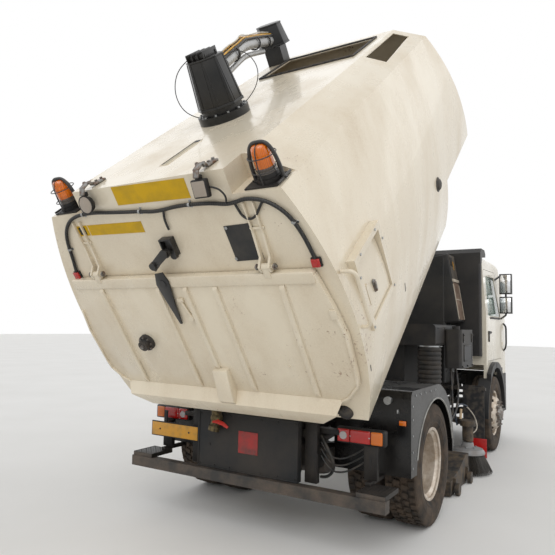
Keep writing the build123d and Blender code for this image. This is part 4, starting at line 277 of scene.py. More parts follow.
def pipes(name, runs, material, body, smoothness=10):
    """Bent pipes, each a radius and the points or places its line is drawn towards."""
    curve = bpy.data.curves.new(name, "CURVE")
    curve.dimensions = "3D"
    curve.bevel_depth = 1.0
    curve.bevel_resolution = 3
    curve.use_fill_caps = True
    for radius, points in runs:
        line = curve.splines.new("NURBS")
        line.points.add(len(points) - 1)
        for at, point in zip(line.points, points):
            at.co = (*point_of(point), 1)
            at.radius = radius
        line.order_u = 3
        line.use_endpoint_u = True
        line.resolution_u = smoothness
    drawn = bpy.data.objects.new(name + "_line", curve)
    bpy.context.scene.collection.objects.link(drawn)
    data = bpy.data.meshes.new_from_object(drawn.evaluated_get(bpy.context.evaluated_depsgraph_get()))
    bpy.data.objects.remove(drawn)
    data.name = name
    data.materials.clear()
    data.materials.append(material)
    data.shade_smooth()
    made = bpy.data.objects.new(name, data)
    bpy.context.scene.collection.objects.link(made)
    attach(made, body)
    return made


lines = []
for rank in range(4):
    y = 0.40 - 0.012 * (rank % 2)
    z = 0.80 + 0.022 * rank
    lines.append((0.007, [
        (2.2, y, z), (1.2, y, z), (0.4, y, z + 0.01), (-0.4, y, z), (-1.2, y, z - 0.004), (-2.1, y, z),
    ]))
for side in (-1, 1):
    lines.append((0.009, [
        (-0.6, side * 0.40, 0.84), (-0.72, side * 0.36, 0.86), (-0.86, side * 0.32, 0.74),
        (-1.0, side * 0.34, 0.64), (-1.04, side * 0.36, 0.60),
    ]))
    lines.append((0.009, [
        (2.0, side * 0.34, 0.80), (2.12, side * 0.3, 0.78), (2.22, side * 0.28, 0.66),
        (2.26, side * 0.3, 0.53),
    ]))
pipes("brake_lines", lines, nylon, "chassis")


# Wheels: steel rims, painted silver and dulled by brake dust, pressed and welded, with oval hand
# holes in the disc and ten nuts on a 335 mm circle round the hub.
def turned(mesh, profile, at, steps=72):
    """A profile of (out, along) points turned a full circle round the place's own z axis."""
    known = set(mesh.verts)
    corners = [mesh.verts.new((out, 0, along)) for out, along in profile]
    sides = [mesh.edges.new(ends) for ends in zip(corners, corners[1:])]
    if profile[0] != profile[-1] and profile[0][0] > 0 and profile[-1][0] > 0:
        sides.append(mesh.edges.new((corners[-1], corners[0])))
    bmesh.ops.spin(
        mesh, geom=corners + sides, cent=(0, 0, 0), axis=(0, 0, 1), dvec=(0, 0, 0), angle=2 * pi,
        steps=steps, use_merge=True,
    )
    made = [corner for corner in mesh.verts if corner not in known]
    bmesh.ops.transform(mesh, matrix=at, verts=made)
    bmesh.ops.remove_doubles(mesh, verts=made, dist=1e-5)
    bmesh.ops.recalc_face_normals(mesh, faces=mesh.faces)


# Brown dust in clouds 80 mm across over a fine silver flake
rim_silver = two_tone(
    "silver_painted_steel", {"Metallic": 0.55},
    ("TexNoise", {"Scale": 12.0, "Detail": 7.0, "Roughness": 0.65}),
    ("CFC6BA", "A08C76"), (0.36, 0.72), rough=(0.32, 0.72),
    relief=(0.2, 0.0004, ("TexNoise", {"Scale": 320.0})),
)

# Light rust blooms about 25 mm across on bare turned steel
dull_steel = two_tone(
    "oiled_bare_steel", {"Metallic": 0.9}, ("TexNoise", {"Scale": 38.0, "Detail": 6.0}),
    ("8B8A87", "6D4C34"), (0.42, 0.75), rough=(0.3, 0.8),
)


def shift(x, y, z):
    return Matrix.Translation((x, y, z))


def tilt(degrees, axis):
    return Matrix.Rotation(radians(degrees), 4, axis)


axle_height = 0.507


def axle_place(x, y, facing):
    """z runs out along the axle, x stays level."""
    return Matrix((
        (1, 0, 0, x),
        (0, 0, facing, y),
        (0, 1 if facing < 0 else -1, 0, axle_height),
        (0, 0, 0, 1),
    ))


# Half sections of the rim, (out, along), with along = 0 at the tyre's middle
rim_well = (
    (0.302, -0.111), (0.302, -0.104), (0.291, -0.098), (0.288, -0.085), (0.262, -0.066), (0.262, 0.030),
    (0.288, 0.060), (0.288, 0.090), (0.291, 0.098), (0.302, 0.104), (0.302, 0.111), (0.296, 0.111),
    (0.281, 0.100), (0.279, 0.064), (0.253, 0.034), (0.253, -0.070), (0.279, -0.090), (0.279, -0.105),
    (0.294, -0.111),
)
rim_disc = (
    (0.256, 0.004), (0.254, 0.040), (0.240, 0.092), (0.214, 0.140), (0.190, 0.158), (0.160, 0.162),
    (0.108, 0.162), (0.108, 0.150), (0.158, 0.150), (0.184, 0.146), (0.204, 0.130), (0.228, 0.086),
    (0.240, 0.036), (0.242, 0.000),
)
hub_front = (
    (0.0, 0.070), (0.060, 0.070), (0.066, 0.066), (0.070, 0.060), (0.092, 0.052), (0.100, 0.040),
    (0.102, 0.022), (0.117, 0.020), (0.117, -0.012), (0.125, -0.014), (0.125, -0.02), (0.204, -0.022),
    (0.204, -0.128), (0.050, -0.128),
)
hub_rear = (
    (0.0, 0.122), (0.056, 0.122), (0.064, 0.118), (0.070, 0.106), (0.088, 0.096), (0.092, 0.060),
    (0.104, 0.046), (0.117, 0.040), (0.117, -0.012), (0.125, -0.014), (0.125, -0.02), (0.204, -0.022),
    (0.204, -0.228), (0.050, -0.228),
)


def holed(mesh, at):
    """Ten oval hand holes cut through the disc of this mesh by a cutter that is then removed."""
    cutter = bmesh.new()
    for turn in range(10):
        hole = at @ Matrix.Rotation(2 * pi * (turn + 0.5) / 10, 4, "Z")
        hole = hole @ shift(0.222, 0, 0.1) @ tilt(52, "Y")
        bmesh.ops.create_cone(
            cutter, cap_ends=True, segments=20, radius1=0.024, radius2=0.024, depth=0.12,
            matrix=hole @ Matrix.Diagonal((1, 1.45, 1, 1)),
        )
    solids = []
    for tag, part in (("disc", mesh), ("holes", cutter)):
        data = bpy.data.meshes.new(tag)
        part.to_mesh(data)
        part.free()
        made = bpy.data.objects.new(tag, data)
        bpy.context.scene.collection.objects.link(made)
        solids.append(made)
    cut = solids[0].modifiers.new("cut", "BOOLEAN")
    cut.operation = "DIFFERENCE"
    cut.solver = "EXACT"
    cut.object = solids[1]
    result = bmesh.new()
    shown = solids[0].evaluated_get(bpy.context.evaluated_depsgraph_get())
    result.from_mesh(bpy.data.meshes.new_from_object(shown))
    for made in solids:
        bpy.data.objects.remove(made)
    return result


def around(count, radius):
    """Points evenly spaced round a circle."""
    angles = [2 * pi * turn / count for turn in range(count)]
    return [(radius * cos(angle), radius * sin(angle)) for angle in angles]


front_x, rear_x = 2.3, -1.15
front_y, rear_y = 0.966, 1.063
twin_gap = 0.324
wheel_nuts, nut_circle, nut_foot = 10, 0.1575, 0.012
for side_name, side in (("left", 1), ("right", -1)):
    for axle, x, discs, hub, disc_y in (
        ("front", front_x, ((front_y, 1),), hub_front, front_y + 0.150),
        ("rear", rear_x, ((rear_y, -1), (rear_y - twin_gap, 1)), hub_rear, rear_y - twin_gap / 2),
    ):
        body = f"wheel_front_{side_name}" if axle == "front" else f"wheels_rear_{side_name}"
        rims = bmesh.new()
        for y, dish in discs:
            centre = axle_place(x, side * y, side * dish)
            disc = bmesh.new()
            turned(disc, rim_disc, centre)
            disc = holed(disc, centre)
            carried = bpy.data.meshes.new("carried")
            disc.to_mesh(carried)
            disc.free()
            rims.from_mesh(carried)
            turned(rims, rim_well, centre)
        rims = piece(f"rim_{axle}_{side_name}_pressed", rims, rim_silver, body)
        hubs = bmesh.new()
        centre = axle_place(x, side * disc_y, side)
        turned(hubs, hub, centre, 48)
        for x_way, y_way in around(wheel_nuts, nut_circle):
            foot = centre @ Vector((x_way, y_way, nut_foot))
            for low, high, radius, sides in (
                (0, 0.006, 0.021, 20), (0.006, 0.030, 0.0175, 6), (0.030, 0.044, 0.0105, 12),
            ):
                out = Vector((0, side, 0))
                bar(hubs, foot + out * low, foot + out * high, radius, sides)
        piece(f"hub_{axle}_{side_name}_nuts", hubs, dull_steel, body)
        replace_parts(rims, f"rim_front_{side_name}" if axle == "front" else f"rims_rear_{side_name}")

# Tyres: radial truck tyres, 275 mm wide and 1.01 m across, the rear ones with drive lugs and the
# front ones with four straight grooves. The rubber is grey-brown with dried mud.
# Mud dried in patches about 120 mm across, with grit of 3 mm
rubber = two_tone(
    "tyre_rubber", {"IOR": 1.52, "Specular IOR Level": 0.35, "Roughness": 0.86},
    ("TexNoise", {"Scale": 8.5, "Detail": 8.0, "Roughness": 0.66}),
    ("25221F", "5A4B3D"), (0.34, 0.74),
    relief=(0.4, 0.0008, ("TexNoise", {"Scale": 330.0, "Detail": 2.0})),
)

tyre_wall = (
    (0.114, 0.499), (0.124, 0.492), (0.129, 0.478), (0.1305, 0.474), (0.134, 0.455), (0.1365, 0.430),
    (0.1385, 0.418), (0.1395, 0.416), (0.1395, 0.408), (0.1375, 0.405), (0.1375, 0.385), (0.134, 0.362),
    (0.131, 0.350), (0.1325, 0.348), (0.1325, 0.342), (0.128, 0.336), (0.116, 0.318), (0.108, 0.308),
    (0.105, 0.300), (0.096, 0.2885),
)
straight_grooves = (
    (0.078, 0.5025), (0.076, 0.490), (0.070, 0.490), (0.068, 0.504), (0.036, 0.506), (0.034, 0.491),
    (0.027, 0.491), (0.025, 0.5068),
)


def ease(mesh, corners, edge, segments=2):
    """Rounds off every edge that meets these corners."""
    rim = list({side for corner in corners for side in corner.link_edges})
    bmesh.ops.bevel(
        mesh, geom=rim, offset=edge, offset_type="OFFSET", segments=segments, profile=0.5,
        affect="EDGES", material=-1, clamp_overlap=True,
    )


def block(mesh, size, at, edge=0.002, segments=2):
    """A box of this size, centred on the place matrix, with eased edges."""
    made = bmesh.ops.create_cube(mesh, size=1, matrix=at @ Matrix.Diagonal((*size, 1)))
    ease(mesh, made["verts"], edge, segments)


# Drive lugs: two middle rows and two shoulder rows, set half a pitch apart. Each row is told by its
# place across the tread, width, length, skew in degrees, share of the pitch and top radius.
lugs = 46
lug_rows = (
    (-0.092, 0.056, 0.043, 6, 0.5, 0.5015), (-0.031, 0.052, 0.046, -14, 0.0, 0.5062),
    (0.031, 0.052, 0.046, -14, 0.5, 0.5062), (0.092, 0.056, 0.043, 6, 0.0, 0.5015),
)
for side_name, side in (("left", 1), ("right", -1)):
    for axle, x, middles in (("front", front_x, (front_y,)), ("rear", rear_x, (rear_y, rear_y - twin_gap))):
        casing = bmesh.new()
        for y in middles:
            if axle == "front":
                crown = [(out, along) for along, out in reversed(straight_grooves)]
            else:
                crown = [(0.490, 0.0), (0.4895, 0.05), (0.488, 0.100)]
            wall = [(out, along) for along, out in tyre_wall]
            right_half = crown + wall
            ring = right_half + [(out, -along) for out, along in reversed(right_half) if along > 0]
            turned(casing, ring, axle_place(x, side * y, side), 96)
            if axle == "front":
                continue
            for turn in range(lugs):
                for at, wide, long, skew, off, top in lug_rows:
                    round_axle = Matrix.Rotation(2 * pi * (turn + off) / lugs, 4, "Z")
                    lug = round_axle @ shift(top - 0.011, 0, at) @ tilt(skew, "X")
                    block(casing, (0.022, long, wide), axle_place(x, side * y, side) @ lug, 0.004, 1)
        body = f"wheel_front_{side_name}" if axle == "front" else f"wheels_rear_{side_name}"
        tyre = piece(f"tyre_{axle}_{side_name}_treaded", casing, rubber, body, 30)
        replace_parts(tyre, f"tyre_front_{side_name}" if axle == "front" else f"tyres_rear_{side_name}")


# Underrun beam: a square steel tube on two posts, grey paint rubbed and caked with road dirt.
# Dirt lies in patches 150 mm across, with grit drawn at 6 mm.
beam_paint = dusty_coat("dirty_grey_beam_paint", "2C2A28", "77685A", 0.55, 0.62, 0.15, 0.006, 0.0012)
dress(beam_paint, "underrun_beam")

# Tread plates on the steps at the beam's ends: thin steel pressed up into rows of lozenges
treads = bmesh.new()
for side in (-1, 1):
    top = shift(-2.153, side * 1.0725, 0.5035)
    block(treads, (0.266, 0.211, 0.003), top, 0.0008, 1)
    for row in range(9):
        for column in range(7):
            spot = top @ shift(-0.118 + 0.0295 * row, -0.09 + 0.030 * column, 0.0015)
            spot = spot @ tilt(45 if (row + column) % 2 else -45, "Z")
            bmesh.ops.create_cone(
                treads, cap_ends=True, segments=6, radius1=0.011, radius2=0.005, depth=0.006,
                matrix=spot @ Matrix.Diagonal((1, 0.42, 1, 1)),
            )
    for end in (-1, 1):
        block(treads, (0.266, 0.004, 0.034), shift(-2.153, side * 1.0725 + end * 0.1065, 0.489), 0.001, 1)
piece("step_tread_plates", treads, chassis_enamel, "chassis")

# Valance: a folded sheet box between the lamps, under a flat dark grey coat with dust in patches
# 400 mm across
valance_paint = dusty_coat("flat_dark_grey_paint", "202122", "564D44", 0.55, 0.42, 0.4, 0.006, 0.0005, 0.3)
dress(valance_paint, "rear_valance")

# Valance trim: folded lips along its edges, a row of rivets and a small drain hole's grommet
valance_face = -2.2525
trim = bmesh.new()
for z in (0.482, 0.926):
    block(trim, (0.006, 0.952, 0.014), shift(valance_face, 0, z), 0.002)
for y in (-0.472, 0.472):
    block(trim, (0.006, 0.014, 0.44), shift(valance_face, y, 0.704), 0.002)
for y in (-0.455, -0.30, -0.15, 0.15, 0.30, 0.455):
    for z in (0.50, 0.908):
        bmesh.ops.create_uvsphere(
            trim, u_segments=12, v_segments=6, radius=0.007, matrix=shift(-2.2505, y, z),
        )
bar(trim, (-2.25, 0.36, 0.66), (-2.256, 0.36, 0.66), 0.011, 20)
piece("valance_trim", trim, valance_paint, "chassis")

# Red marker sheet riveted to the valance: faded red reflective film on thin aluminium.
# Fading in clouds about 70 mm across
red_film = two_tone(
    "faded_red_reflective_film", {"Roughness": 0.42},
    ("TexNoise", {"Scale": 14.0, "Detail": 6.0}), ("9A2A26", "5C3431"), (0.38, 0.72),
)
red_sheet = bmesh.new()
block(red_sheet, (0.003, 0.185, 0.172), shift(valance_face, -0.025, 0.716), 0.001, 1)
for y in (-0.105, 0.055):
    for z in (0.642, 0.79):
        bar(red_sheet, (-2.254, y, z), (-2.2575, y, z), 0.006, 10)
piece("red_marker_sheet", red_sheet, red_film, "chassis")

# Number plate: a blank yellow retroreflective plate on a black bar from the valance.
# Dust that washed down the film in clouds 60 mm across
plate_yellow = two_tone(
    "yellow_plate_film", {"Roughness": 0.3, "Coat Weight": 0.4},
    ("TexNoise", {"Scale": 16.0, "Detail": 7.0}), ("C98E0E", "94722A"), (0.45, 0.85),
)


def boxed(name, material, body, *boxes):
    """A piece made of boxes alone, each told as block() takes it."""
    mesh = bmesh.new()
    for box in boxes:
        block(mesh, *box)
    return piece(name, mesh, material, body)


plate_z = 0.715
boxed("number_plate", plate_yellow, "chassis", ((0.004, 0.52, 0.112), shift(-2.205, 0.785, plate_z), 0.0015))
holder = bmesh.new()
block(holder, (0.008, 0.54, 0.13), shift(-2.198, 0.785, plate_z), 0.002)
block(holder, (0.03, 0.62, 0.03), shift(-2.18, 0.75, plate_z), 0.004)
block(holder, (0.012, 0.04, 0.18), shift(-2.19, 0.90, 0.79), 0.003)
block(holder, (0.11, 0.04, 0.012), shift(-2.14, 0.90, 0.775), 0.003)
for y in (0.62, 0.95):
    bar(holder, (-2.2068, y, plate_z), (-2.2095, y, plate_z), 0.008, 12)
piece("number_plate_holder", holder, chassis_enamel, "chassis")


# Tail lamps: clear and coloured acrylic lenses on a black moulded housing, a red reflector and a
# round clear reversing lamp inboard, the stop lamp in the middle and the amber turn lamp outboard
def lens_plastic(name, tint, clear):
    """Moulded acrylic with prisms 4 mm apart behind a smooth face."""
    lens = bpy.data.materials.new(name)
    lens.use_nodes = True
    shader = lens.node_tree.nodes["Principled BSDF"]
    shader.inputs["IOR"].default_value = 1.49
    shader.inputs["Roughness"].default_value = 0.08
    shader.inputs["Transmission Weight"].default_value = clear
    shader.inputs["Coat Weight"].default_value = 0.5
    place = add_node(lens, "TexCoord")
    prisms = add_node(lens, "TexWave", {
        "Vector": place.outputs["Object"], "Scale": 40.0,
    }, bands_direction="Y")
    body = add_node(lens, "MapRange", {"Value": prisms.outputs["Fac"], "To Min": 0.72, "To Max": 1.0})
    tone = add_node(lens, "Mix", {0: body.outputs[0], 6: shade("301010"), 7: shade(tint)}, data_type="RGBA")
    bump = add_node(lens, "Bump", {"Height": prisms.outputs["Fac"], "Strength": 0.3, "Distance": 0.001})
    lens.node_tree.links.new(tone.outputs[2], shader.inputs["Base Color"])
    lens.node_tree.links.new(bump.outputs[0], shader.inputs["Normal"])
    return lens


red_acrylic = lens_plastic("red_acrylic_lens", "D5160F", 0.25)
amber_acrylic = lens_plastic("amber_acrylic_lens", "FF8412", 0.3)
clear_acrylic = lens_plastic("clear_acrylic_lens", "E9ECEC", 0.45)
moulded_black = dusty_coat("moulded_black_plastic", "131314", "5F5850", 0.5, 0.26, 0.22, 0.004, 0.0004, 0.35)
lamp_z, lens_x, lens_face = 0.845, -2.0965, -2.1060
housing = bmesh.new()
red_parts = bmesh.new()
amber_parts = bmesh.new()
clear_parts = bmesh.new()
for side in (-1, 1):
    block(housing, (0.066, 0.384, 0.117), shift(-2.063, side * 0.915, lamp_z), 0.014, 3)
    block(red_parts, (0.022, 0.098, 0.094), shift(lens_x, side * 0.782, lamp_z), 0.009, 3)
    block(red_parts, (0.022, 0.160, 0.094), shift(lens_x, side * 0.915, lamp_z), 0.009, 3)
    block(amber_parts, (0.022, 0.088, 0.094), shift(lens_x, side * 1.044, lamp_z), 0.009, 3)
    bar(clear_parts, (lens_face, side * 0.782, lamp_z), (-2.1115, side * 0.782, lamp_z), 0.031, 32, 0.027)
    for y in (0.84, 0.99):
        bar(clear_parts, (lens_face, side * y, lamp_z), (-2.1095, side * y, lamp_z), 0.005, 8)
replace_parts(piece("tail_lamp_housings", housing, moulded_black, "chassis"), "tail_lamps")
piece("tail_lamp_red_lenses", red_parts, red_acrylic, "chassis")
piece("tail_lamp_amber_lenses", amber_parts, amber_acrylic, "chassis")
piece("tail_lamp_clear_lenses", clear_parts, clear_acrylic, "chassis")

# Rear mudguards: glossy black glass-fibre shells under a film of dust, with a rolled bead round
# the arch whose paint has worn to grey, bolts, a breather stub and amber side reflectors
guard_gloss = dusty_coat("glossy_black_mudguard", "0C0C0D", "5F5952", 0.24, 0.24, 0.35, 0.005, 0.0003, 0.4)
dress(guard_gloss, "rear_mudguards")
worn_bead = dusty_coat("worn_grey_bead", "9A9994", "4E4A45", 0.4, 0.7, 0.09, 0.005, 0.0004)
bead_arch = 0.553
bead_turns = [radians(14 + 152 * step / 16) for step in range(17)]
pipes("mudguard_bead", [(0.0075, [
    (rear_x + bead_arch * cos(turn), side * 1.2165, axle_height + bead_arch * sin(turn))
    for turn in bead_turns
]) for side in (-1, 1)], worn_bead, "chassis")
seams = bmesh.new()
for side in (-1, 1):
    for x in (-1.72, -1.60, -1.47, -1.32, -1.18):
        bar(seams, (x, side * 1.217, 1.135), (x, side * 1.2215, 1.135), 0.0085, 6)
    for z in (0.60, 0.72, 0.84, 0.96, 1.06):
        bar(seams, (-1.80, side * 1.217, z), (-1.80, side * 1.2215, z), 0.0085, 6)
    block(seams, (0.05, 0.012, 0.03), shift(-1.845, side * 1.12, 1.02), 0.003)
    bar(seams, (-1.84, side * 1.05, 1.10), (-1.88, side * 1.05, 1.10), 0.022, 20)
    bar(seams, (-1.88, side * 1.05, 1.10), (-1.90, side * 1.05, 1.10), 0.030, 20)
piece("mudguard_bolts", seams, zinc, "chassis")
side_markers = boxed("amber_side_reflectors", amber_acrylic, "chassis", *(
    ((0.014, 0.055, 0.036), shift(-1.853, side * 1.155, 0.935), 0.005, 3) for side in (-1, 1)
))

# Lamp posts and the gear between the valance and the mudguards: pressed channel posts from the
# steps to the lamps, a folded post beside the valance, an air reservoir and its pipes
boxed("lamp_posts", chassis_enamel, "chassis", *(
    (size, shift(x, side * y, z), edge)
    for side in (-1, 1)
    for size, x, y, z, edge in (
        ((0.045, 0.105, 0.250), -2.045, 0.985, 0.660, 0.006),
        ((0.30, 0.040, 0.030), -1.97, 0.985, 0.520, 0.004),
        ((0.050, 0.105, 0.455), -2.150, 0.548, 0.700, 0.006),
        ((0.300, 0.010, 0.110), -2.020, 0.600, 0.640, 0.003),
        ((0.070, 0.180, 0.040), -2.080, 0.660, 0.860, 0.005),
    )
))
# The lamp posts' slots are not cut: thin black sheets on the posts are painted shade for them
boxed("lamp_post_slot_shade", moulded_black, "chassis", *(
    ((0.003, 0.018, 0.095), shift(-2.0685, side * 0.985, 0.665), 0.001, 1) for side in (-1, 1)
))
tank_half = ((0.0, 0.200), (0.050, 0.197), (0.085, 0.175), (0.095, 0.140))
tank_line = [(out, -along) for out, along in tank_half] + list(reversed(tank_half))


def band(mesh, inner, outer, half, at, steps):
    """A flat ring of this half width round the place's own z axis."""
    turned(mesh, ((inner, -half), (outer, -half), (outer, half), (inner, half)), at, steps)


reservoir = bmesh.new()
turned(reservoir, tank_line, shift(-1.975, -0.43, 0.60) @ tilt(90, "X"), 40)
for y in (-0.53, -0.33):
    band(reservoir, 0.0945, 0.0985, 0.014, shift(-1.975, y, 0.60) @ tilt(90, "X"), 40)
piece("air_reservoir", reservoir, beam_paint, "chassis")
rear_lines = []
for rank in range(3):
    z = 0.575 + 0.05 * rank
    rear_lines.append((0.007, [
        (-2.120, -0.61, z + 0.10), (-2.125, -0.68, z), (-2.06, -0.76, z - 0.02), (-2.04, -0.86, z + 0.03),
        (-2.05, -0.93, z + 0.08),
    ]))
rear_lines += [
    (0.012, [
        (-2.10, -0.60, 0.82), (-2.13, -0.67, 0.74), (-2.10, -0.72, 0.60), (-2.06, -0.64, 0.50),
        (-2.02, -0.56, 0.49),
    ]),
    (0.008, [
        (-2.10, 0.60, 0.82), (-2.13, 0.68, 0.72), (-2.08, 0.80, 0.66), (-2.05, 0.90, 0.72),
        (-2.06, 0.93, 0.79),
    ]),
]
pipes("rear_air_lines", rear_lines, nylon, "chassis")


# Drive line, tank and sweep gear share the chassis colours: enamel on castings, flat black on
# the moulded duct and nozzle, grey on the power pack.
cast_paint = dusty_coat("grey_cast_iron_paint", "272727", "5E5042", 0.6, 0.55, 0.12, 0.005, 0.0012)
dress(cast_paint, "drive_line")
tank_paint = dusty_coat("black_tank_enamel", "202122", "71685D", 0.35, 0.4, 0.28, 0.007, 0.0004)
dress(tank_paint, "fuel_tank")
moulded_duct = dusty_coat("rubber_lined_duct", "171717", "64584B", 0.65, 0.45, 0.1, 0.005, 0.0010)
dress(moulded_duct, "suction_duct")
nozzle_paint = dusty_coat("scuffed_black_steel", "1C1B1A", "857159", 0.55, 0.7, 0.1, 0.006, 0.0014)
dress(nozzle_paint, "suction_nozzle")
pack_paint = dusty_coat("dark_grey_casing_paint", "262729", "655C51", 0.5, 0.36, 0.35, 0.005, 0.0006, 0.35)
dress(pack_paint, "power_pack")
tower_paint = dusty_coat("satin_dark_grey_tower", "252627", "5C554C", 0.45, 0.32, 0.4, 0.005, 0.0006, 0.35)
dress(tower_paint, "radiator_tower")

# Tank trim: a ribbed filler cap on its neck, two strap clamps with bolts and a drain plug
tank_trim = bmesh.new()
bar(tank_trim, (1.02, 0.90, 0.925), (1.02, 0.945, 0.975), 0.034, 24)
bar(tank_trim, (1.02, 0.935, 0.965), (1.02, 0.965, 0.997), 0.046, 24, 0.042)
for x_way, y_way in around(12, 0.045):
    spot = Vector((1.02, 0.945, 0.975)) + Matrix.Rotation(radians(-42), 3, "X") @ Vector((x_way, y_way, 0.0))
    bar(tank_trim, spot, spot + Vector((0, 0.018, 0.020)), 0.004, 6)
for x in (0.34, 1.05):
    bar(tank_trim, (x, 1.03, 0.50), (x, 1.045, 0.50), 0.011, 6)
    bar(tank_trim, (x, 1.03, 0.88), (x, 1.045, 0.88), 0.011, 6)
bar(tank_trim, (0.70, 0.76, 0.452), (0.70, 0.76, 0.438), 0.02, 6)
piece("tank_fittings", tank_trim, zinc, "chassis")

# Radiator screen and louvres: a perforated steel sheet, darker than the casing, behind slats of
# folded steel in a frame on the tower's left side, and the tower's bolts
screen_steel = bpy.data.materials.new("perforated_black_screen")
screen_steel.use_nodes = True
screen_shader = screen_steel.node_tree.nodes["Principled BSDF"]
screen_shader.inputs["Roughness"].default_value = 0.6
screen_place = add_node(screen_steel, "TexCoord")
# Holes 8 mm apart, drawn at 12 mm so that they show
screen_holes = add_node(screen_steel, "TexVoronoi", {
    "Vector": screen_place.outputs["Object"], "Scale": 85.0, "Randomness": 0.0,
})
screen_tone = add_node(screen_steel, "ValToRGB", {"Fac": screen_holes.outputs["Distance"]})
screen_tone.color_ramp.interpolation = "CONSTANT"
screen_tone.color_ramp.elements[0].color = shade("060606")
screen_tone.color_ramp.elements[1].position = 0.33
screen_tone.color_ramp.elements[1].color = shade("343537")
screen_bump = add_node(screen_steel, "Bump", {
    "Height": screen_tone.outputs["Color"], "Strength": 0.6, "Distance": 0.001,
})
screen_steel.node_tree.links.new(screen_tone.outputs["Color"], screen_shader.inputs["Base Color"])
screen_steel.node_tree.links.new(screen_bump.outputs[0], screen_shader.inputs["Normal"])
louvre_x, louvre_z = 1.635, 2.24
boxed("tower_side_screens", screen_steel, "chassis", (
    (0.23, 0.004, 0.52), shift(louvre_x, 0.6185, louvre_z), 0.001, 1,
))
tower_trim = bmesh.new()
for z in (1.97, 2.51):
    block(tower_trim, (0.25, 0.008, 0.016), shift(louvre_x, 0.6215, z), 0.002)
for x in (1.512, 1.758):
    block(tower_trim, (0.016, 0.008, 0.55), shift(x, 0.6215, louvre_z), 0.002)
    for side in (-1, 1):
        for z in (1.1, 1.4, 1.66):
            bar(tower_trim, (x, side * 0.619, z), (x, side * 0.6275, z), 0.010, 6)
for rank in range(13):
    slat = shift(louvre_x, 0.6225, 2.0 + 0.04 * rank) @ tilt(34, "X")
    block(tower_trim, (0.23, 0.003, 0.03), slat, 0.0008, 1)
for y in (-0.57, -0.19, 0.19, 0.57):
    for z in (1.21, 1.92, 2.56):
        bar(tower_trim, (1.468, y, z), (1.4625, y, z), 0.010, 6)
piece("tower_louvres", tower_trim, tower_paint, "chassis")

# Radiator hood on the tower's right side: a folded steel casing that leans in towards its top. A
# dusty upper panel with a small vent and a blank sticker is bolted over it, and below a rubbed bar
# the intake screen is clogged with pale dust between two bright edge strips.
hood_place = shift(1.635, -0.7275, 2.21) @ tilt(-9.15, "X")
boxed("radiator_hood", tower_paint, "chassis", (
    (0.32, 0.19, 0.91), hood_place @ shift(0, 0.095, 0), 0.012, 3,
))
hood_dust = dusty_coat("dusty_grey_hood_panel", "3D3A36", "8B8073", 0.6, 0.75, 0.5, 0.004, 0.0005, 0.3)
hood_panel = bmesh.new()
block(hood_panel, (0.304, 0.006, 0.325), hood_place @ shift(0, -0.003, 0.284), 0.002)
for x in (-0.135, 0.135):
    for z in (0.14, 0.43):
        bar(hood_panel, hood_place @ Vector((x, -0.005, z)), hood_place @ Vector((x, -0.0105, z)), 0.008, 6)
piece("radiator_hood_panel", hood_panel, hood_dust, "chassis")
clogged_screen = dusty_coat("dust_clogged_screen", "6B5A4E", "A08C7C", 0.85, 0.8, 0.12, 0.003, 0.0012, 0.2)
boxed(
    "radiator_intake_screen", clogged_screen, "chassis",
    ((0.288, 0.005, 0.500), hood_place @ shift(0, -0.0025, -0.185), 0.001, 1),
    *(
        ((0.284, 0.002, 0.004), hood_place @ shift(0, -0.006, -0.42 + 0.0204 * rank), 0.0005, 1)
        for rank in range(24)
    ),
)
rubbed_strip = dusty_coat("rubbed_aluminium_strip", "BDB3A4", "8C7E6D", 0.45, 0.5, 0.1, 0.004, 0.0004)
boxed(
    "radiator_hood_strips", rubbed_strip, "chassis",
    ((0.322, 0.018, 0.040), hood_place @ shift(0, -0.009, 0.092), 0.003),
    ((0.014, 0.010, 0.47), hood_place @ shift(-0.150, -0.005, -0.195)),
    ((0.014, 0.010, 0.47), hood_place @ shift(0.150, -0.005, -0.195)),
    ((0.286, 0.008, 0.010), hood_place @ shift(0, -0.006, -0.165)),
)
boxed(
    "radiator_hood_vent", moulded_black, "chassis",
    ((0.090, 0.008, 0.130), hood_place @ shift(-0.085, -0.0095, 0.355), 0.012, 3),
    *(
        ((0.070, 0.004, 0.014), hood_place @ shift(-0.085, -0.0150, 0.315 + 0.027 * rank), 0.0015, 1)
        for rank in range(4)
    ),
)
boxed("blank_hood_sticker", plate_yellow, "chassis", (
    (0.045, 0.001, 0.115), hood_place @ shift(0.030, -0.0066, 0.305), 0.0003, 1,
))

# Power-pack trim: black over-centre latches and hinges on the side box, and a fine intake screen
# in a frame with a row of bolts above it
latches = bmesh.new()
for x in (0.82, 1.26):
    block(latches, (0.03, 0.014, 0.09), shift(x, -1.005, 1.56), 0.004, 2)
    bar(latches, (x - 0.02, -1.016, 1.585), (x + 0.02, -1.016, 1.585), 0.006, 12)
    block(latches, (0.04, 0.01, 0.02), shift(x, -1.006, 1.505), 0.002)
for x in (0.79, 1.04, 1.29):
    bar(latches, (x - 0.03, -1.006, 1.215), (x + 0.03, -1.006, 1.215), 0.009, 12)
piece("pack_latches", latches, nylon, "chassis")
boxed("pack_intake_screen", screen_steel, "chassis", (
    (0.36, 0.004, 0.17), shift(1.04, -1.0025, 1.37), 0.001, 1,
))
pack_frame = bmesh.new()
for z in (1.28, 1.46):
    block(pack_frame, (0.40, 0.008, 0.018), shift(1.04, -1.0035, z), 0.002)
for x in (0.85, 1.23):
    block(pack_frame, (0.018, 0.008, 0.20), shift(x, -1.0035, 1.37), 0.002)
for x in (0.45, 0.75, 1.05, 1.32):
    for side in (-1, 1):
        bar(pack_frame, (x, side * 0.799, 1.66), (x, side * 0.8055, 1.66), 0.009, 6)
piece("pack_intake_frame", pack_frame, pack_paint, "chassis")

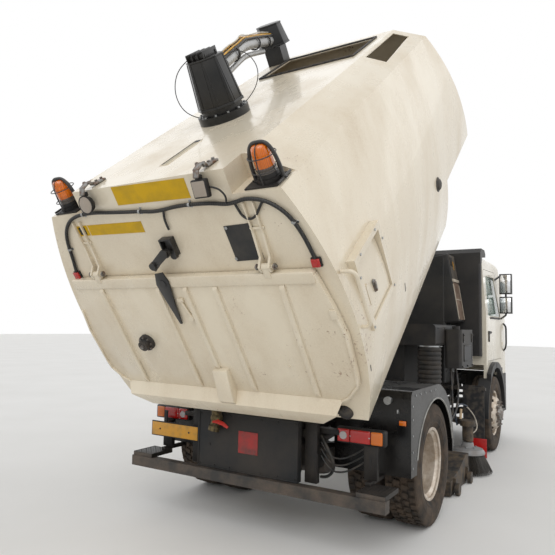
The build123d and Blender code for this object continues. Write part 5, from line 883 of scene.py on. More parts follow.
# Suction duct: stainless band clamps over the hose's ends, each with its worm screw
duct_x = 0.49
clamps = bmesh.new()
for z in (0.340, 1.451):
    band(clamps, 0.1252, 0.1285, 0.008, shift(duct_x, -0.69, z), 48)
    block(clamps, (0.045, 0.016, 0.016), shift(duct_x, -0.824, z), 0.003)
    bar(clamps, (0.46, -0.829, z), (0.535, -0.829, z), 0.005, 8)
piece("duct_clamps", clamps, zinc, "chassis")

# Hydraulic hoses: black rubber with pressed steel ends, from the power pack down beside the duct
# to the nozzle and the brush arm.
# Dust in clouds 55 mm across over the cloth wrap's marks, 5 mm apart, left by the curing
hose_rubber = two_tone(
    "black_hose_rubber", {"IOR": 1.52}, ("TexNoise", {"Scale": 18.0, "Detail": 6.0}),
    ("17171A", "5A5248"), (0.42, 0.78), rough=(0.4, 0.85),
    relief=(0.25, 0.0008, ("TexWave", {"Scale": 32.0}, {"bands_direction": "Z"})),
)
pipes("suction_gear_hoses", [
    (0.013, [
        (0.80, -0.86, 1.20), (0.74, -0.88, 1.02), (0.70, -0.90, 0.80), (0.60, -0.92, 0.64),
        (0.36, -0.92, 0.58), (0.16, -0.90, 0.50), (0.06, -0.88, 0.36),
    ]),
    (0.013, [
        (0.84, -0.90, 1.20), (0.80, -0.94, 1.04), (0.72, -0.96, 0.86), (0.60, -0.965, 0.72),
        (0.40, -0.96, 0.66), (0.22, -0.95, 0.52), (0.14, -0.93, 0.37),
    ]),
    (0.011, [
        (0.90, -0.86, 1.20), (0.90, -0.86, 1.04), (0.86, -0.84, 0.90), (0.84, -0.82, 0.74),
        (0.90, -0.84, 0.60), (0.96, -0.90, 0.52),
    ]),
], hose_rubber, "chassis", 14)
hose_ends = bmesh.new()
top_end, foot_end = (-0.055, -0.012, -0.014, 0.004), (-0.02, 0.03, -0.045, -0.02)
for x, y, z, (sleeve_low, sleeve_high, nut_low, nut_high) in (
    (0.80, -0.86, 1.20, top_end), (0.84, -0.90, 1.20, top_end), (0.90, -0.86, 1.20, top_end),
    (0.06, -0.88, 0.36, foot_end), (0.14, -0.93, 0.37, foot_end),
):
    bar(hose_ends, (x, y, z + sleeve_low), (x, y, z + sleeve_high), 0.017)
    bar(hose_ends, (x, y, z + nut_low), (x, y, z + nut_high), 0.019, 6)
piece("hose_ends", hose_ends, zinc, "chassis")

# Wheel flap: a black rubber curtain behind the front wheel with a red painted steel plate bolted
# outside it, its paint chipped to primer
dress(hose_rubber, "wheel_flap")
chipped_red = dusty_coat("chipped_red_enamel", "B8100C", "5E3A33", 0.35, 0.35, 0.09, 0.006, 0.0006)
red_plate = bmesh.new()
block(red_plate, (0.005, 0.235, 0.235), shift(1.4810, -1.010, 0.165), 0.0015)
for y in (-1.10, -0.92):
    bar(red_plate, (1.480, y, 0.255), (1.472, y, 0.255), 0.010, 6)
piece("red_flap_plate", red_plate, chipped_red, "chassis")

# Side brush: a worn steel disc with its bolts, and tufts of black polypropylene and flat steel
# wire in three rings, splayed outwards and swept back by the turning
dress(nozzle_paint, "brush_arm")
worn_disc = dusty_coat("worn_steel_brush_disc", "8E8F90", "7A6B5C", 0.42, 0.6, 0.12, 0.004, 0.0005)
dress(worn_disc, "brush_head")
# Each bristle is a millimetre thick; light dusty streaks 6 mm apart stand for single strands
tuft_tints = two_tone(
    "polypropylene_and_wire_bristle", {"Roughness": 0.5, "IOR": 1.49},
    ("TexNoise", {"Scale": 160.0, "Detail": 2.0}), ("121110", "4E483F"), (0.4, 0.7),
)
brush_x, brush_y = 0.85, -1.035
tufts = bmesh.new()
for ring, (radius, lean, count) in enumerate(((0.168, 0.100, 46), (0.138, 0.088, 40), (0.108, 0.074, 32))):
    for rank in range(count):
        for strand in range(7):
            turn = 2 * pi * (rank + 0.5 * ring) / count
            spread = (strand - 3) * 0.012
            foot_turn = turn + spread * 0.5
            tip_turn = turn + spread * 2.4 + 0.05
            reach = radius + lean * (0.86 + 0.14 * ((rank * 7 + strand * 3) % 5) / 4)
            foot = (brush_x + radius * cos(foot_turn), brush_y + radius * sin(foot_turn), 0.226)
            tip = (
                brush_x + reach * cos(tip_turn), brush_y + reach * sin(tip_turn),
                0.020 + 0.006 * (strand % 3),
            )
            bar(tufts, foot, tip, 0.0032, 4, 0.0016)
tufts = piece("brush_tufts", tufts, tuft_tints, "brush")
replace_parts(tufts, "brush_bristles")

# Feed hoses on the brush arm: one in a pale braid and one in blue rubber loop over the motor, with
# a cream spring sleeve between them
pale_braid = dusty_coat("pale_braided_hose", "B7AFA2", "7D7264", 0.6, 0.5, 0.05, 0.003, 0.0006)
blue_rubber = dusty_coat("blue_hose_rubber", "1E2C3C", "5C6168", 0.5, 0.45, 0.05, 0.004, 0.0004)
cream_sleeve = dusty_coat("cream_spring_sleeve", "D9BD97", "8C7A63", 0.55, 0.4, 0.06, 0.003, 0.0005)
pipes("brush_arm_pale_hose", [(0.0075, [
    (0.983, -1.0, 0.727), (1.111, -1.03, 0.655), (1.188, -1.06, 0.553), (1.120, -1.09, 0.470),
    (1.020, -1.07, 0.425), (0.900, -1.04, 0.415),
])], pale_braid, "brush_arm", 10)
pipes("brush_arm_blue_hose", [(0.0085, [
    (0.777, -0.93, 0.536), (0.706, -0.925, 0.659), (0.783, -0.93, 0.743), (0.897, -0.95, 0.779),
    (0.983, -1.0, 0.738),
])], blue_rubber, "brush_arm", 10)
sleeve = bmesh.new()
bar(sleeve, (0.909, -0.94, 0.589), (0.938, -0.94, 0.703), 0.015, 20)
piece("brush_arm_sleeve", sleeve, cream_sleeve, "brush_arm")
brush_bolts = bmesh.new()
for x_way, y_way in around(6, 0.09):
    x, y = brush_x + x_way, brush_y + y_way
    bar(brush_bolts, (x, y, 0.289), (x, y, 0.292), 0.014, 16)
    bar(brush_bolts, (x, y, 0.292), (x, y, 0.300), 0.010, 6)
piece("brush_bolts", brush_bolts, zinc, "brush")


# Cab shell and doors: pressed steel under a gloss cream enamel, with faint orange peel. Road film
# gathers low down and in long vertical runs.
cab_enamel = dusty_coat(
    "gloss_cream_cab_enamel", "E4DDCC", "A99B85", 0.16, 0.45, 0.45, 0.012, 0.0002, 0.5, run=0.75,
)
cab_enamel.node_tree.nodes["Principled BSDF"].inputs["Coat Weight"].default_value = 0.35
dress(cab_enamel, "cab_shell", "cab_door_left", "cab_door_right")

# Cladding, bumper and dashboard: moulded plastics. The fairings are satin black, the bumper is
# dark grey with a stipple, the dashboard a soft grey grain.
fairing_black = dusty_coat(
    "satin_black_fairing_plastic", "1F2022", "5C554D", 0.42, 0.28, 0.5, 0.006, 0.0004, 0.4,
)
dress(fairing_black, "cab_cladding")
bumper_grey = dusty_coat("stippled_grey_bumper_plastic", "2A2C2E", "80776A", 0.55, 0.45, 0.25, 0.004, 0.0008)
dress(bumper_grey, "front_bumper")
dash_grey = dusty_coat("grained_grey_dashboard", "3C3E41", "6B665E", 0.6, 0.25, 0.3, 0.003, 0.0008)
dress(dash_grey, "dashboard")

# Glass: laminated windscreen and toughened panes with a green cast and a film of dried rain spots.
# Dried spots about 8 mm across over clouds of film
cab_pane = two_tone(
    "tinted_safety_glass", {"IOR": 1.52, "Transmission Weight": 0.92},
    ("TexNoise", {"Scale": 9.0, "Detail": 8.0, "Roughness": 0.7}),
    ("C9D6D0", "A9ADA2"), (0.45, 0.8), rough=(0.02, 0.3), reach=(0.45, 0.85),
)
dress(cab_pane, "cab_glass", "door_glass_left", "door_glass_right")

# Wipers: two black painted arms with rubber blades, parked low on the windscreen
wipers = bmesh.new()
for foot_y, tip_y in ((0.52, -0.12), (-0.28, -0.86)):
    foot = (3.505, foot_y, 1.735)
    tip = (3.452, tip_y, 1.862)
    bar(wipers, (3.49, foot_y, 1.735), (3.53, foot_y, 1.745), 0.022, 20)
    bar(wipers, foot, tip, 0.009, 10, 0.006)
    middle = Vector(foot).lerp(Vector(tip), 0.62)
    way = (Vector(tip) - Vector(foot)).normalized()
    lean = way.to_track_quat("Y", "Z").to_matrix().to_4x4()
    block(wipers, (0.012, 0.62, 0.016), Matrix.Translation(middle + Vector((0.006, 0, 0.004))) @ lean, 0.003)
piece("windscreen_wipers", wipers, moulded_black, "chassis")

# Doors: black T-shaped pull handles, a black rubber strip along the belt, and lock barrels
door_face = 1.0735
for door_name, side in (("left", 1), ("right", -1)):
    pulls = bmesh.new()
    block(pulls, (0.17, 0.014, 0.036), shift(2.075, side * door_face, 1.62), 0.006, 3)
    block(pulls, (0.036, 0.014, 0.13), shift(2.02, side * door_face, 1.555), 0.006, 3)
    bar(pulls, (2.145, side * 1.066, 1.62), (2.145, side * 1.084, 1.62), 0.013, 20)
    block(pulls, (0.72, 0.006, 0.026), shift(2.53, side * 1.0645, 1.822), 0.002)
    piece(f"door_pull_{door_name}", pulls, moulded_black, f"door_{door_name}")

# Sill trims and grab rails: black plastic strips under each door and a bent black tube beside it
rails = bmesh.new()
for side in (-1, 1):
    for x in (2.63, 2.96):
        block(rails, (0.20, 0.02, 0.05), shift(x, side * 1.058, 1.07), 0.004)
piece("cab_sill_trims", rails, moulded_black, "chassis")
pipes("cab_grab_rails", [
    (0.013, [
        (3.19, side * y, z)
        for y, z in ((1.055, 1.34), (1.105, 1.36), (1.105, 1.60), (1.105, 1.74), (1.05, 1.76))
    ])
    for side in (-1, 1)
], moulded_black, "chassis", 12)

# Side turn lamps on the flares: amber acrylic on a black foot
turn_lamps = bmesh.new()
turn_feet = bmesh.new()
for side in (-1, 1):
    block(turn_feet, (0.09, 0.006, 0.06), shift(2.30, side * 1.1175, 1.165), 0.003)
    block(turn_lamps, (0.07, 0.012, 0.042), shift(2.30, side * 1.113, 1.165), 0.005, 3)
piece("flare_turn_lamps", turn_lamps, amber_acrylic, "chassis")
piece("flare_turn_lamp_feet", turn_feet, moulded_black, "chassis")

# Headlamps: a clear moulded cover over a chromed reflector bowl and an amber turn lamp.
# Haze in clouds 30 mm across on bright plating
chromed = two_tone(
    "chromed_reflector", {"Metallic": 1.0}, ("TexNoise", {"Scale": 33.0, "Detail": 4.0}),
    ("D2D4D6", "E6E7E8"), rough=(0.04, 0.2),
)
headlamp_z = 0.76
bowl_line = (
    (0.006, 0.0), (0.034, 0.010), (0.056, 0.030), (0.068, 0.052), (0.070, 0.052), (0.058, 0.028),
    (0.034, 0.006), (0.006, -0.004),
)
lamp_bowls = bmesh.new()
lamp_covers = bmesh.new()
lamp_ambers = bmesh.new()
lamp_backs = bmesh.new()
for side in (-1, 1):
    block(lamp_backs, (0.03, 0.42, 0.16), shift(3.475, side * 0.74, headlamp_z), 0.012, 2)
    block(lamp_covers, (0.012, 0.424, 0.164), shift(3.550, side * 0.74, headlamp_z), 0.005, 3)
    for y in (0.64, 0.80):
        turned(lamp_bowls, bowl_line, shift(3.489, side * y, headlamp_z) @ tilt(90, "Y"), 36)
        bar(lamp_bowls, (3.488, side * y, headlamp_z), (3.512, side * y, headlamp_z), 0.009, 16, 0.006)
    block(lamp_ambers, (0.03, 0.05, 0.13), shift(3.50, side * 0.912, headlamp_z), 0.012, 3)
bowls = piece("headlamp_reflectors", lamp_bowls, chromed, "chassis")
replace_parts(bowls, "headlamps")
piece("headlamp_covers", lamp_covers, clear_acrylic, "chassis")
piece("headlamp_turn_lamps", lamp_ambers, amber_acrylic, "chassis")
piece("headlamp_housings", lamp_backs, moulded_black, "chassis")

# Mirrors: black moulded heads on tube arms, each with a silvered pane facing back
mirror_gloss = dusty_coat("gloss_black_mirror_shell", "101112", "6A655D", 0.22, 0.3, 0.2, 0.004, 0.0002, 0.6)
dress(mirror_gloss, "mirror_left", "mirror_right")
for door_name, side in (("left", 1), ("right", -1)):
    panes = bmesh.new()
    for height, low in ((0.300, 2.190), (0.250, 1.900)):
        block(panes, (0.003, 0.142, height - 0.036), shift(2.7985, side * 1.165, low + height / 2), 0.001, 2)
    piece(f"mirror_panes_{door_name}", panes, chromed, f"door_{door_name}")

# Seats: foam cushions under a woven dark grey cloth with a blue thread, on the CAD seat's place
seat_cloth = bpy.data.materials.new("woven_grey_seat_cloth")
seat_cloth.use_nodes = True
cloth_shader = seat_cloth.node_tree.nodes["Principled BSDF"]
cloth_shader.inputs["Roughness"].default_value = 0.9
cloth_shader.inputs["Sheen Weight"].default_value = 0.25
cloth_place = add_node(seat_cloth, "TexCoord")
# Threads 1 mm apart, drawn at 5 mm so that the weave shows
warp = add_node(seat_cloth, "TexWave", {
    "Vector": cloth_place.outputs["Object"], "Scale": 32.0,
}, bands_direction="X")
weft = add_node(seat_cloth, "TexWave", {
    "Vector": cloth_place.outputs["Object"], "Scale": 32.0,
}, bands_direction="Y")
weave = add_node(seat_cloth, "Math", {0: warp.outputs["Fac"], 1: weft.outputs["Fac"]}, operation="MULTIPLY")
cloth_tone = add_node(seat_cloth, "ValToRGB", {"Fac": weave.outputs[0]})
cloth_tone.color_ramp.elements[0].color = shade("222327")
cloth_tone.color_ramp.elements[1].color = shade("4A4E5A")
cloth_bump = add_node(seat_cloth, "Bump", {"Height": weave.outputs[0], "Strength": 0.5, "Distance": 0.001})
seat_cloth.node_tree.links.new(cloth_tone.outputs["Color"], cloth_shader.inputs["Base Color"])
seat_cloth.node_tree.links.new(cloth_bump.outputs[0], cloth_shader.inputs["Normal"])


def cushion(size, at, crown):
    """A crowned pad: its faces swell towards their middles and its corners stay drawn in."""
    pad = bmesh.new()
    bmesh.ops.create_cube(pad, size=1)
    bmesh.ops.subdivide_edges(pad, edges=pad.edges[:], cuts=7, use_grid_fill=True)
    for corner in pad.verts:
        x, y, z = (2 * c for c in corner.co)
        full = [(1 - y * y) * (1 - z * z), (1 - x * x) * (1 - z * z), (1 - x * x) * (1 - y * y)]
        pull = 1 - 0.045 * (x * x * y * y + y * y * z * z + x * x * z * z)
        corner.co = Vector((
            size[0] * x * pull / 2 + crown * full[0] * (x if abs(x) > 0.99 else 0),
            size[1] * y * pull / 2 + crown * full[1] * (y if abs(y) > 0.99 else 0),
            size[2] * z * pull / 2 + crown * full[2] * (z if abs(z) > 0.99 else 0),
        ))
    bmesh.ops.smooth_vert(
        pad, verts=pad.verts[:], factor=0.5, use_axis_x=True, use_axis_y=True, use_axis_z=True,
    )
    bmesh.ops.transform(pad, matrix=at, verts=pad.verts[:])
    return pad


for seat_name, y in (("driver", 0.48), ("passenger", -0.48)):
    for pad_name, size, at, crown in (
        ("base", (0.47, 0.47, 0.14), shift(2.475, y, 1.575) @ tilt(-3, "Y"), 0.016),
        ("back", (0.13, 0.46, 0.60), shift(2.185, y, 1.915) @ tilt(-9, "Y"), 0.014),
        ("headrest", (0.09, 0.25, 0.15), shift(2.093, y, 2.325) @ tilt(-9, "Y"), 0.010),
    ):
        pad = piece(f"seat_{pad_name}_{seat_name}", cushion(size, at, crown), seat_cloth, "chassis", 80)
        swell = pad.modifiers.new("swell", "SUBSURF")
        swell.levels = swell.render_levels = 1
        if pad_name == "base" and seat_name == "driver":
            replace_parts(pad, "seats")
seat_frames = bmesh.new()
for y in (0.48, -0.48):
    block(seat_frames, (0.34, 0.40, 0.20), shift(2.44, y, 1.335), 0.02, 3)
    block(seat_frames, (0.44, 0.05, 0.05), shift(2.44, y + 0.17, 1.47), 0.008)
    block(seat_frames, (0.44, 0.05, 0.05), shift(2.44, y - 0.17, 1.47), 0.008)
    for step in (-0.06, 0.06):
        bar(seat_frames, (2.125, y + step, 2.19), (2.11, y + step, 2.28), 0.007, 10)
piece("seat_frames", seat_frames, dash_grey, "chassis")


# Hopper: welded steel sheet under a thick gloss ivory enamel, sprayed by hand, so the surface has
# orange peel. Dirty water has run down it in thin streaks, and stone chips have bled rust.
hopper_corner = Vector((-2.3940, 0, 1.0225))
hopper_forward = Vector((0.7738, 0, 0.6334))
hopper_upright = Vector((-0.6334, 0, 0.7738))
face_up = hopper_forward * 0.0531 + hopper_upright * 0.9986
face_out = hopper_upright * 0.0531 - hopper_forward * 0.9986
rightwards = Vector((0, -1, 0))


def turned_place(x_way, y_way, z_way, spot):
    """The place whose axes run these three ways from this spot."""
    place = Matrix((x_way, y_way, z_way)).transposed().to_4x4()
    place.translation = spot
    return place


def on_rear(right, up, out):
    """A spot on the rear face: to the right, up the face and out from it."""
    spot = hopper_corner + rightwards * right + face_up * up + face_out * out
    return turned_place(rightwards, face_up, face_out, spot)


def chipped(coat, rust, chip, share):
    """Adds stone chips of this size in metres that have bled rust, over this share of the coat."""
    shader = coat.node_tree.nodes["Principled BSDF"]
    under = shader.inputs["Base Color"].links[0].from_socket
    place = add_node(coat, "TexCoord")
    field = add_node(coat, "TexNoise", {"Vector": place.outputs["Object"], "Scale": 1.6, "Detail": 3.0})
    grit = add_node(coat, "TexNoise", {
        "Vector": place.outputs["Object"], "Scale": 1 / chip, "Detail": 5.0, "Roughness": 0.75,
    })
    both = add_node(coat, "Math", {0: field.outputs["Fac"], 1: grit.outputs["Fac"]}, operation="MULTIPLY")
    spot = add_node(coat, "MapRange", {
        "Value": both.outputs[0], "From Min": 0.40 - share, "From Max": 0.47 - share,
    })
    tone = add_node(coat, "Mix", {0: spot.outputs[0], 6: under, 7: shade(rust)}, data_type="RGBA")
    coat.node_tree.links.new(tone.outputs[2], shader.inputs["Base Color"])
    return coat


# Streaks are a hand wide and run down the hopper's own height; the peel is drawn at 12 mm.
ivory_enamel = chipped(
    dusty_coat(
        "gloss_ivory_hopper_enamel", "E3D8C2", "AF9570", 0.2, 0.42, 0.4, 0.012, 0.00025, 0.5,
        turn=radians(39.3), run=0.85,
    ),
    "7B4B2A", 0.028, 0.0,
)
ivory_enamel.node_tree.nodes["Principled BSDF"].inputs["Coat Weight"].default_value = 0.3
dress(ivory_enamel, "hopper_shell", "hatch_frame", "side_hatch")


# Signs left blank: three yellow vinyl panels and one black square near the head of the rear face,
# each a thin sheet that was stuck on a little askew
def sign_film(name, tint, faded):
    """Cast vinyl faded in clouds 90 mm across, with a faint pebble."""
    return two_tone(
        name, {"Roughness": 0.4, "Specular IOR Level": 0.3},
        ("TexNoise", {"Scale": 11.0, "Detail": 6.0}), (tint, faded), (0.42, 0.82),
        relief=(0.15, 0.0003, ("TexNoise", {"Scale": 300.0})),
    )


yellow_vinyl = sign_film("yellow_sign_vinyl", "CDA300", "AE8E1C")
black_vinyl = sign_film("black_sign_vinyl", "1B1B1B", "3B3934")
boxed(
    "blank_yellow_signs", yellow_vinyl, "hopper",
    ((0.622, 0.131, 0.0015), on_rear(0.036, 1.803, 0.0012) @ tilt(-1.2, "Z"), 0.0004, 1),
    ((0.520, 0.082, 0.0015), on_rear(-0.402, 1.580, 0.0012) @ tilt(-1.4, "Z"), 0.0004, 1),
    ((0.122, 0.080, 0.0015), on_rear(-0.730, 1.588, 0.0012), 0.0004, 1),
)
boxed("blank_black_sign", black_vinyl, "hopper", (
    (0.066, 0.060, 0.001), on_rear(-0.730, 1.588, 0.0026), 0.0003, 1,
))

# Black cover plate: powder-coated sheet held by a screw in each corner
cover_black = dusty_coat("black_powder_coat", "1E1F20", "6A6257", 0.55, 0.3, 0.15, 0.003, 0.0004)
cover_place = on_rear(0.613, 1.402, 0.0026) @ tilt(1.5, "Z")
boxed("rear_cover_plate", cover_black, "hopper", ((0.208, 0.248, 0.004), cover_place, 0.001, 1))
cover_screws = bmesh.new()
for right, up in ((0.524, 1.512), (0.708, 1.508), (0.702, 1.292), (0.518, 1.296)):
    bar(cover_screws, on_rear(right, up, 0.0046), on_rear(right, up, 0.010), 0.011, 6)
piece("cover_plate_screws", cover_screws, zinc, "hopper")

# Rear door hinges: ivory hook arms welded up the panel above each pin, with the pin's bare steel
# head and split pin showing
hinge_rights, pin_up, pin_out = (-0.745, 0.745), 1.252, 0.048
hinge_arms = bmesh.new()
for right in hinge_rights:
    for side in (-0.034, 0.034):
        block(hinge_arms, (0.010, 0.20, 0.022), on_rear(right + side, 1.565, 0.0115), 0.003)
    block(hinge_arms, (0.10, 0.016, 0.012), on_rear(right, 1.495, 0.0065), 0.003)
piece("hinge_hook_arms", hinge_arms, ivory_enamel, "hopper")
hinge_pins = bmesh.new()
for right in hinge_rights:
    for side in (-1, 1):
        foot, head, end = (on_rear(right + side * away, pin_up, pin_out) for away in (0.0585, 0.068, 0.078))
        bar(hinge_pins, foot, head, 0.020, 20)
        bar(hinge_pins, head, end, 0.010, 12)
piece("hinge_pin_heads", hinge_pins, dull_steel, "hopper")


# Door lock: a black forged lever. The knob and its link hang from a slotted guide on the upper
# panel, the tapered blade and its pivot are bolted to the door's top bar.
def cut_plate(mesh, corners, place, depth, edge=0.002):
    """A plate cut to these corners in the place's plane, its sharp edges eased."""
    known = set(mesh.verts)
    face = mesh.faces.new([mesh.verts.new((x, y, 0)) for x, y in corners])
    grown = bmesh.ops.extrude_face_region(mesh, geom=[face])
    risen = [part for part in grown["geom"] if isinstance(part, bmesh.types.BMVert)]
    bmesh.ops.translate(mesh, verts=risen, vec=(0, 0, depth))
    made = [corner for corner in mesh.verts if corner not in known]
    bmesh.ops.transform(mesh, matrix=place, verts=made)
    ease(mesh, made, edge)
    bmesh.ops.recalc_face_normals(mesh, faces=mesh.faces[:])


lever_black = chipped(dusty_coat(
    "black_forged_lever_enamel", "141415", "5C554C", 0.3, 0.3, 0.12, 0.004, 0.0005, 0.6,
), "5B4334", 0.02, 0.02)
dress(lever_black, "door_lever")
guide = bmesh.new()
block(guide, (0.10, 0.012, 0.05), on_rear(0.035, 1.482, 0.026), 0.003)
block(guide, (0.012, 0.13, 0.05), on_rear(-0.010, 1.420, 0.026), 0.003)
block(guide, (0.012, 0.13, 0.05), on_rear(0.080, 1.420, 0.026), 0.003)
bar(guide, on_rear(0.035, 1.40, 0.060), on_rear(0.035, 1.40, 0.088), 0.030, 24)
bar(guide, on_rear(-0.100, 1.322, 0.086), on_rear(-0.100, 1.322, 0.114), 0.031, 24, 0.027)
cut_plate(guide, (
    (0.062, 1.425), (0.022, 1.436), (-0.130, 1.332), (-0.106, 1.296), (-0.074, 1.304),
    (0.055, 1.385),
), on_rear(0, 0, 0.090), 0.012)
piece("lock_lever_link", guide, lever_black, "hopper")
blade = bmesh.new()
cut_plate(blade, (
    (-0.150, 1.246), (-0.076, 1.256), (-0.056, 1.180), (-0.086, 0.990), (-0.098, 0.829),
    (-0.118, 0.829), (-0.150, 1.000), (-0.178, 1.160),
), on_rear(0, 0, 0.064), 0.011, 0.003)
bar(blade, on_rear(-0.114, 1.168, 0.060), on_rear(-0.114, 1.168, 0.080), 0.033, 28, 0.029)
piece("lock_lever_blade", blade, lever_black, "rear_door")
catch = bmesh.new()
bar(catch, on_rear(-0.031, 1.010, 0.062), on_rear(0.003, 0.882, 0.062), 0.009, 14)
bar(catch, on_rear(0.003, 0.876, 0.050), on_rear(0.003, 0.876, 0.074), 0.024, 20, 0.021)
block(catch, (0.05, 0.03, 0.016), on_rear(-0.034, 1.022, 0.058), 0.003)
bar(catch, on_rear(0.657, 0.477, 0.050), on_rear(0.657, 0.477, 0.057), 0.011, 16, 0.009)
block(catch, (0.045, 0.07, 0.012), on_rear(1.105, 0.905, 0.056), 0.003)
piece("door_catch_rod", catch, ivory_enamel, "rear_door")

# Rear door: a folded sheet leaf with a flanged rim, stiffened by five tapered ribs, and a scoop
# along its foot that throws the dirt clear, with the latch box welded on it
leaf = bmesh.new()
leaf_half = (
    (1.055, 1.185), (1.119, 0.927), (1.152, 0.729), (1.140, 0.413), (1.129, 0.342), (1.046, 0.242),
    (0.985, 0.205),
)
cut_plate(
    leaf, leaf_half[::-1] + tuple((-right, up) for right, up in leaf_half), on_rear(0, 0, 0.0045),
    0.0450, 0.003,
)
for side in (-1, 1):
    for (right, up), (next_right, next_up) in zip(leaf_half[1:-1], leaf_half[2:]):
        start = on_rear(side * (right - 0.009), up, 0.052).translation
        end = on_rear(side * (next_right - 0.009), next_up, 0.052).translation
        run = (end - start).normalized()
        block(leaf, ((end - start).length + 0.008, 0.017, 0.018), turned_place(
            run, face_out.cross(run), face_out, (start + end) / 2,
        ), 0.004)
scoop = [
    leaf.verts.new(on_rear(side * right, up, out).translation)
    for side in (-1, 1)
    for right, up, out in (
        (0.985, 0.214, 0.020), (0.985, 0.214, 0.051), (0.945, 0.141, 0.128), (0.938, 0.128, 0.127),
        (0.797, 0.010, 0.087), (0.797, 0.010, 0.020),
    )
]
bmesh.ops.convex_hull(leaf, input=scoop)
bmesh.ops.recalc_face_normals(leaf, faces=leaf.faces[:])
along_y = Vector((0, 1, 0))
rib_feet = {-0.815: 0.212, -0.302: 0.212, -0.045: 0.40, 0.200: 0.212, 0.770: 0.212}
for truck_y, low in rib_feet.items():
    edge_at = on_rear(-truck_y, 0, 0).translation - along_y * 0.020
    cut_plate(
        leaf, ((0.049, 1.135), (0.073, 1.105), (0.073, low + 0.06), (0.049, low)),
        turned_place(face_out, face_up, -rightwards, edge_at), 0.040, 0.008,
    )
latch_box = ((0.046, 0.423), (0.088, 0.418), (0.142, 0.172), (0.120, 0.135), (0.046, 0.150))
cut_plate(leaf, latch_box, turned_place(
    face_out, face_up, along_y, point_of(on_rear(0.130, 0, 0)),
), 0.130, 0.004)
block(leaf, (2.10, 0.084, 0.056), on_rear(0, 1.168, 0.034), 0.010, 3)
for right in hinge_rights:
    lug_place = turned_place(face_out, face_up, along_y, point_of(on_rear(right + 0.024, 0, 0)))
    cut_plate(leaf, (
        (0.026, pin_up), (0.032, 1.180), (0.066, 1.180), (0.070, pin_up),
    ), lug_place, 0.048, 0.004)
    for half, radius, sides in ((0.024, 0.024, 28), (0.050, 0.014, 20)):
        bar(
            leaf, on_rear(right - half, pin_up, pin_out), on_rear(right + half, pin_up, pin_out),
            radius, sides,
        )
leaf = piece("rear_door_leaf", leaf, ivory_enamel, "rear_door")
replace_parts(leaf, "rear_door")

# Weld beads: rounded runs of filler where the ribs meet the door's skin
pipes("door_weld_beads", [
    (0.0045, [on_rear(-truck_y + side * 0.0205, up, 0.0505) for up in (0.44, 0.56, 0.68, 0.80, 0.93, 1.08)])
    for truck_y in rib_feet for side in (-1, 1)
], ivory_enamel, "rear_door", 8)

# Corner stops beside the scoop: an ivory gusset closes the shell's lower corner on each side, and
# a ribbed black rubber buffer is pushed into the right one
gussets = bmesh.new()
for side in (-1, 1):
    corners = ((0.800, 0.004), (0.986, 0.004), (1.046, 0.240), (0.965, 0.240))
    cut_plate(gussets, tuple(
        (side * right, up)
        for right, up in corners[::side]
    ), on_rear(0, 0, -0.006), 0.006, 0.001)
piece("lower_corner_gussets", gussets, ivory_enamel, "hopper")
buffer_right, buffer_up = 0.947, 0.060
buffer = bmesh.new()
turned(buffer, (
    (0.0, 0.030), (0.026, 0.029), (0.044, 0.024), (0.053, 0.015), (0.056, 0.0), (0.0, 0.0),
), on_rear(buffer_right, buffer_up, 0.0002), 40)
for (foot_x, foot_y), (top_x, top_y) in zip(around(16, 0.053), around(16, 0.046)):
    foot = on_rear(buffer_right + foot_x, buffer_up + foot_y, 0.001)
    bar(buffer, foot, on_rear(buffer_right + top_x, buffer_up + top_y, 0.026), 0.0042, 8)
piece("corner_rubber_buffer", buffer, hose_rubber, "hopper")

# Outlet flange on the door: a cast iron ring with eight bolts round a blank cover
dress(cast_paint, "drain_valve")
outlet = bmesh.new()
outlet_right, outlet_up = -0.55, 0.64
for x_way, y_way in around(8, 0.054):
    right, up = outlet_right + x_way, outlet_up + y_way
    bar(outlet, on_rear(right, up, 0.080), on_rear(right, up, 0.089), 0.0085, 6)
bar(outlet, on_rear(outlet_right, outlet_up, 0.1205), on_rear(outlet_right, outlet_up, 0.134), 0.016, 6)
piece("outlet_bolts", outlet, dull_steel, "rear_door")

# Wiring harness: black split conduit, ribbed every few millimetres, laid in a sagging line across
# the rear panel with two branch tails and held by zinc-plated clips.
# Ribs 3 mm apart, drawn at 8 mm so that they show
conduit = two_tone(
    "black_split_conduit", {"Roughness": 0.5},
    ("TexWave", {"Scale": 20.0}, {"bands_direction": "Y"}), ("0F0F10", "2C2B29"),
    relief=(0.6, 0.0015),
)
harness_route = (
    (-1.000, 1.262), (-0.985, 1.310), (-0.962, 1.385), (-0.930, 1.530), (-0.860, 1.640),
    (-0.735, 1.712), (-0.527, 1.722), (-0.380, 1.708), (-0.234, 1.697), (-0.100, 1.690), (0.038, 1.673),
    (0.232, 1.697), (0.420, 1.692), (0.510, 1.684), (0.598, 1.668), (0.670, 1.676), (0.737, 1.690),
    (0.820, 1.678), (0.892, 1.652), (0.983, 1.572), (1.032, 1.463), (1.060, 1.347), (1.072, 1.270),
)


def on_panel(route, out):
    return [on_rear(right, up, out) for right, up in route]


pipes("rear_harness", [
    (0.0125, on_panel(harness_route, 0.0170)),
    (0.008, on_panel(((0.106, 1.685), (0.088, 1.640), (0.078, 1.597), (0.082, 1.540)), 0.0150)),
    (0.008, on_panel((
        (0.655, 1.672), (0.664, 1.630), (0.680, 1.580), (0.720, 1.556), (0.770, 1.572),
        (0.810, 1.620), (0.850, 1.665),
    ), 0.0150)),
], conduit, "hopper", 8)
clips = bmesh.new()
for right, up, lean in (
    (-0.946, 1.458, 12), (-0.630, 1.717, 86), (-0.098, 1.689, 96), (0.326, 1.695, 90),
    (1.008, 1.517, 24),
):
    clip = on_rear(right, up, 0) @ tilt(-lean, "Z")
    block(clips, (0.052, 0.016, 0.003), clip @ shift(0, 0, 0.0021), 0.001, 1)
    band(clips, 0.0130, 0.0155, 0.008, clip @ shift(0, 0, 0.017) @ tilt(90, "X"), 20)
piece("harness_clips", clips, zinc, "hopper")

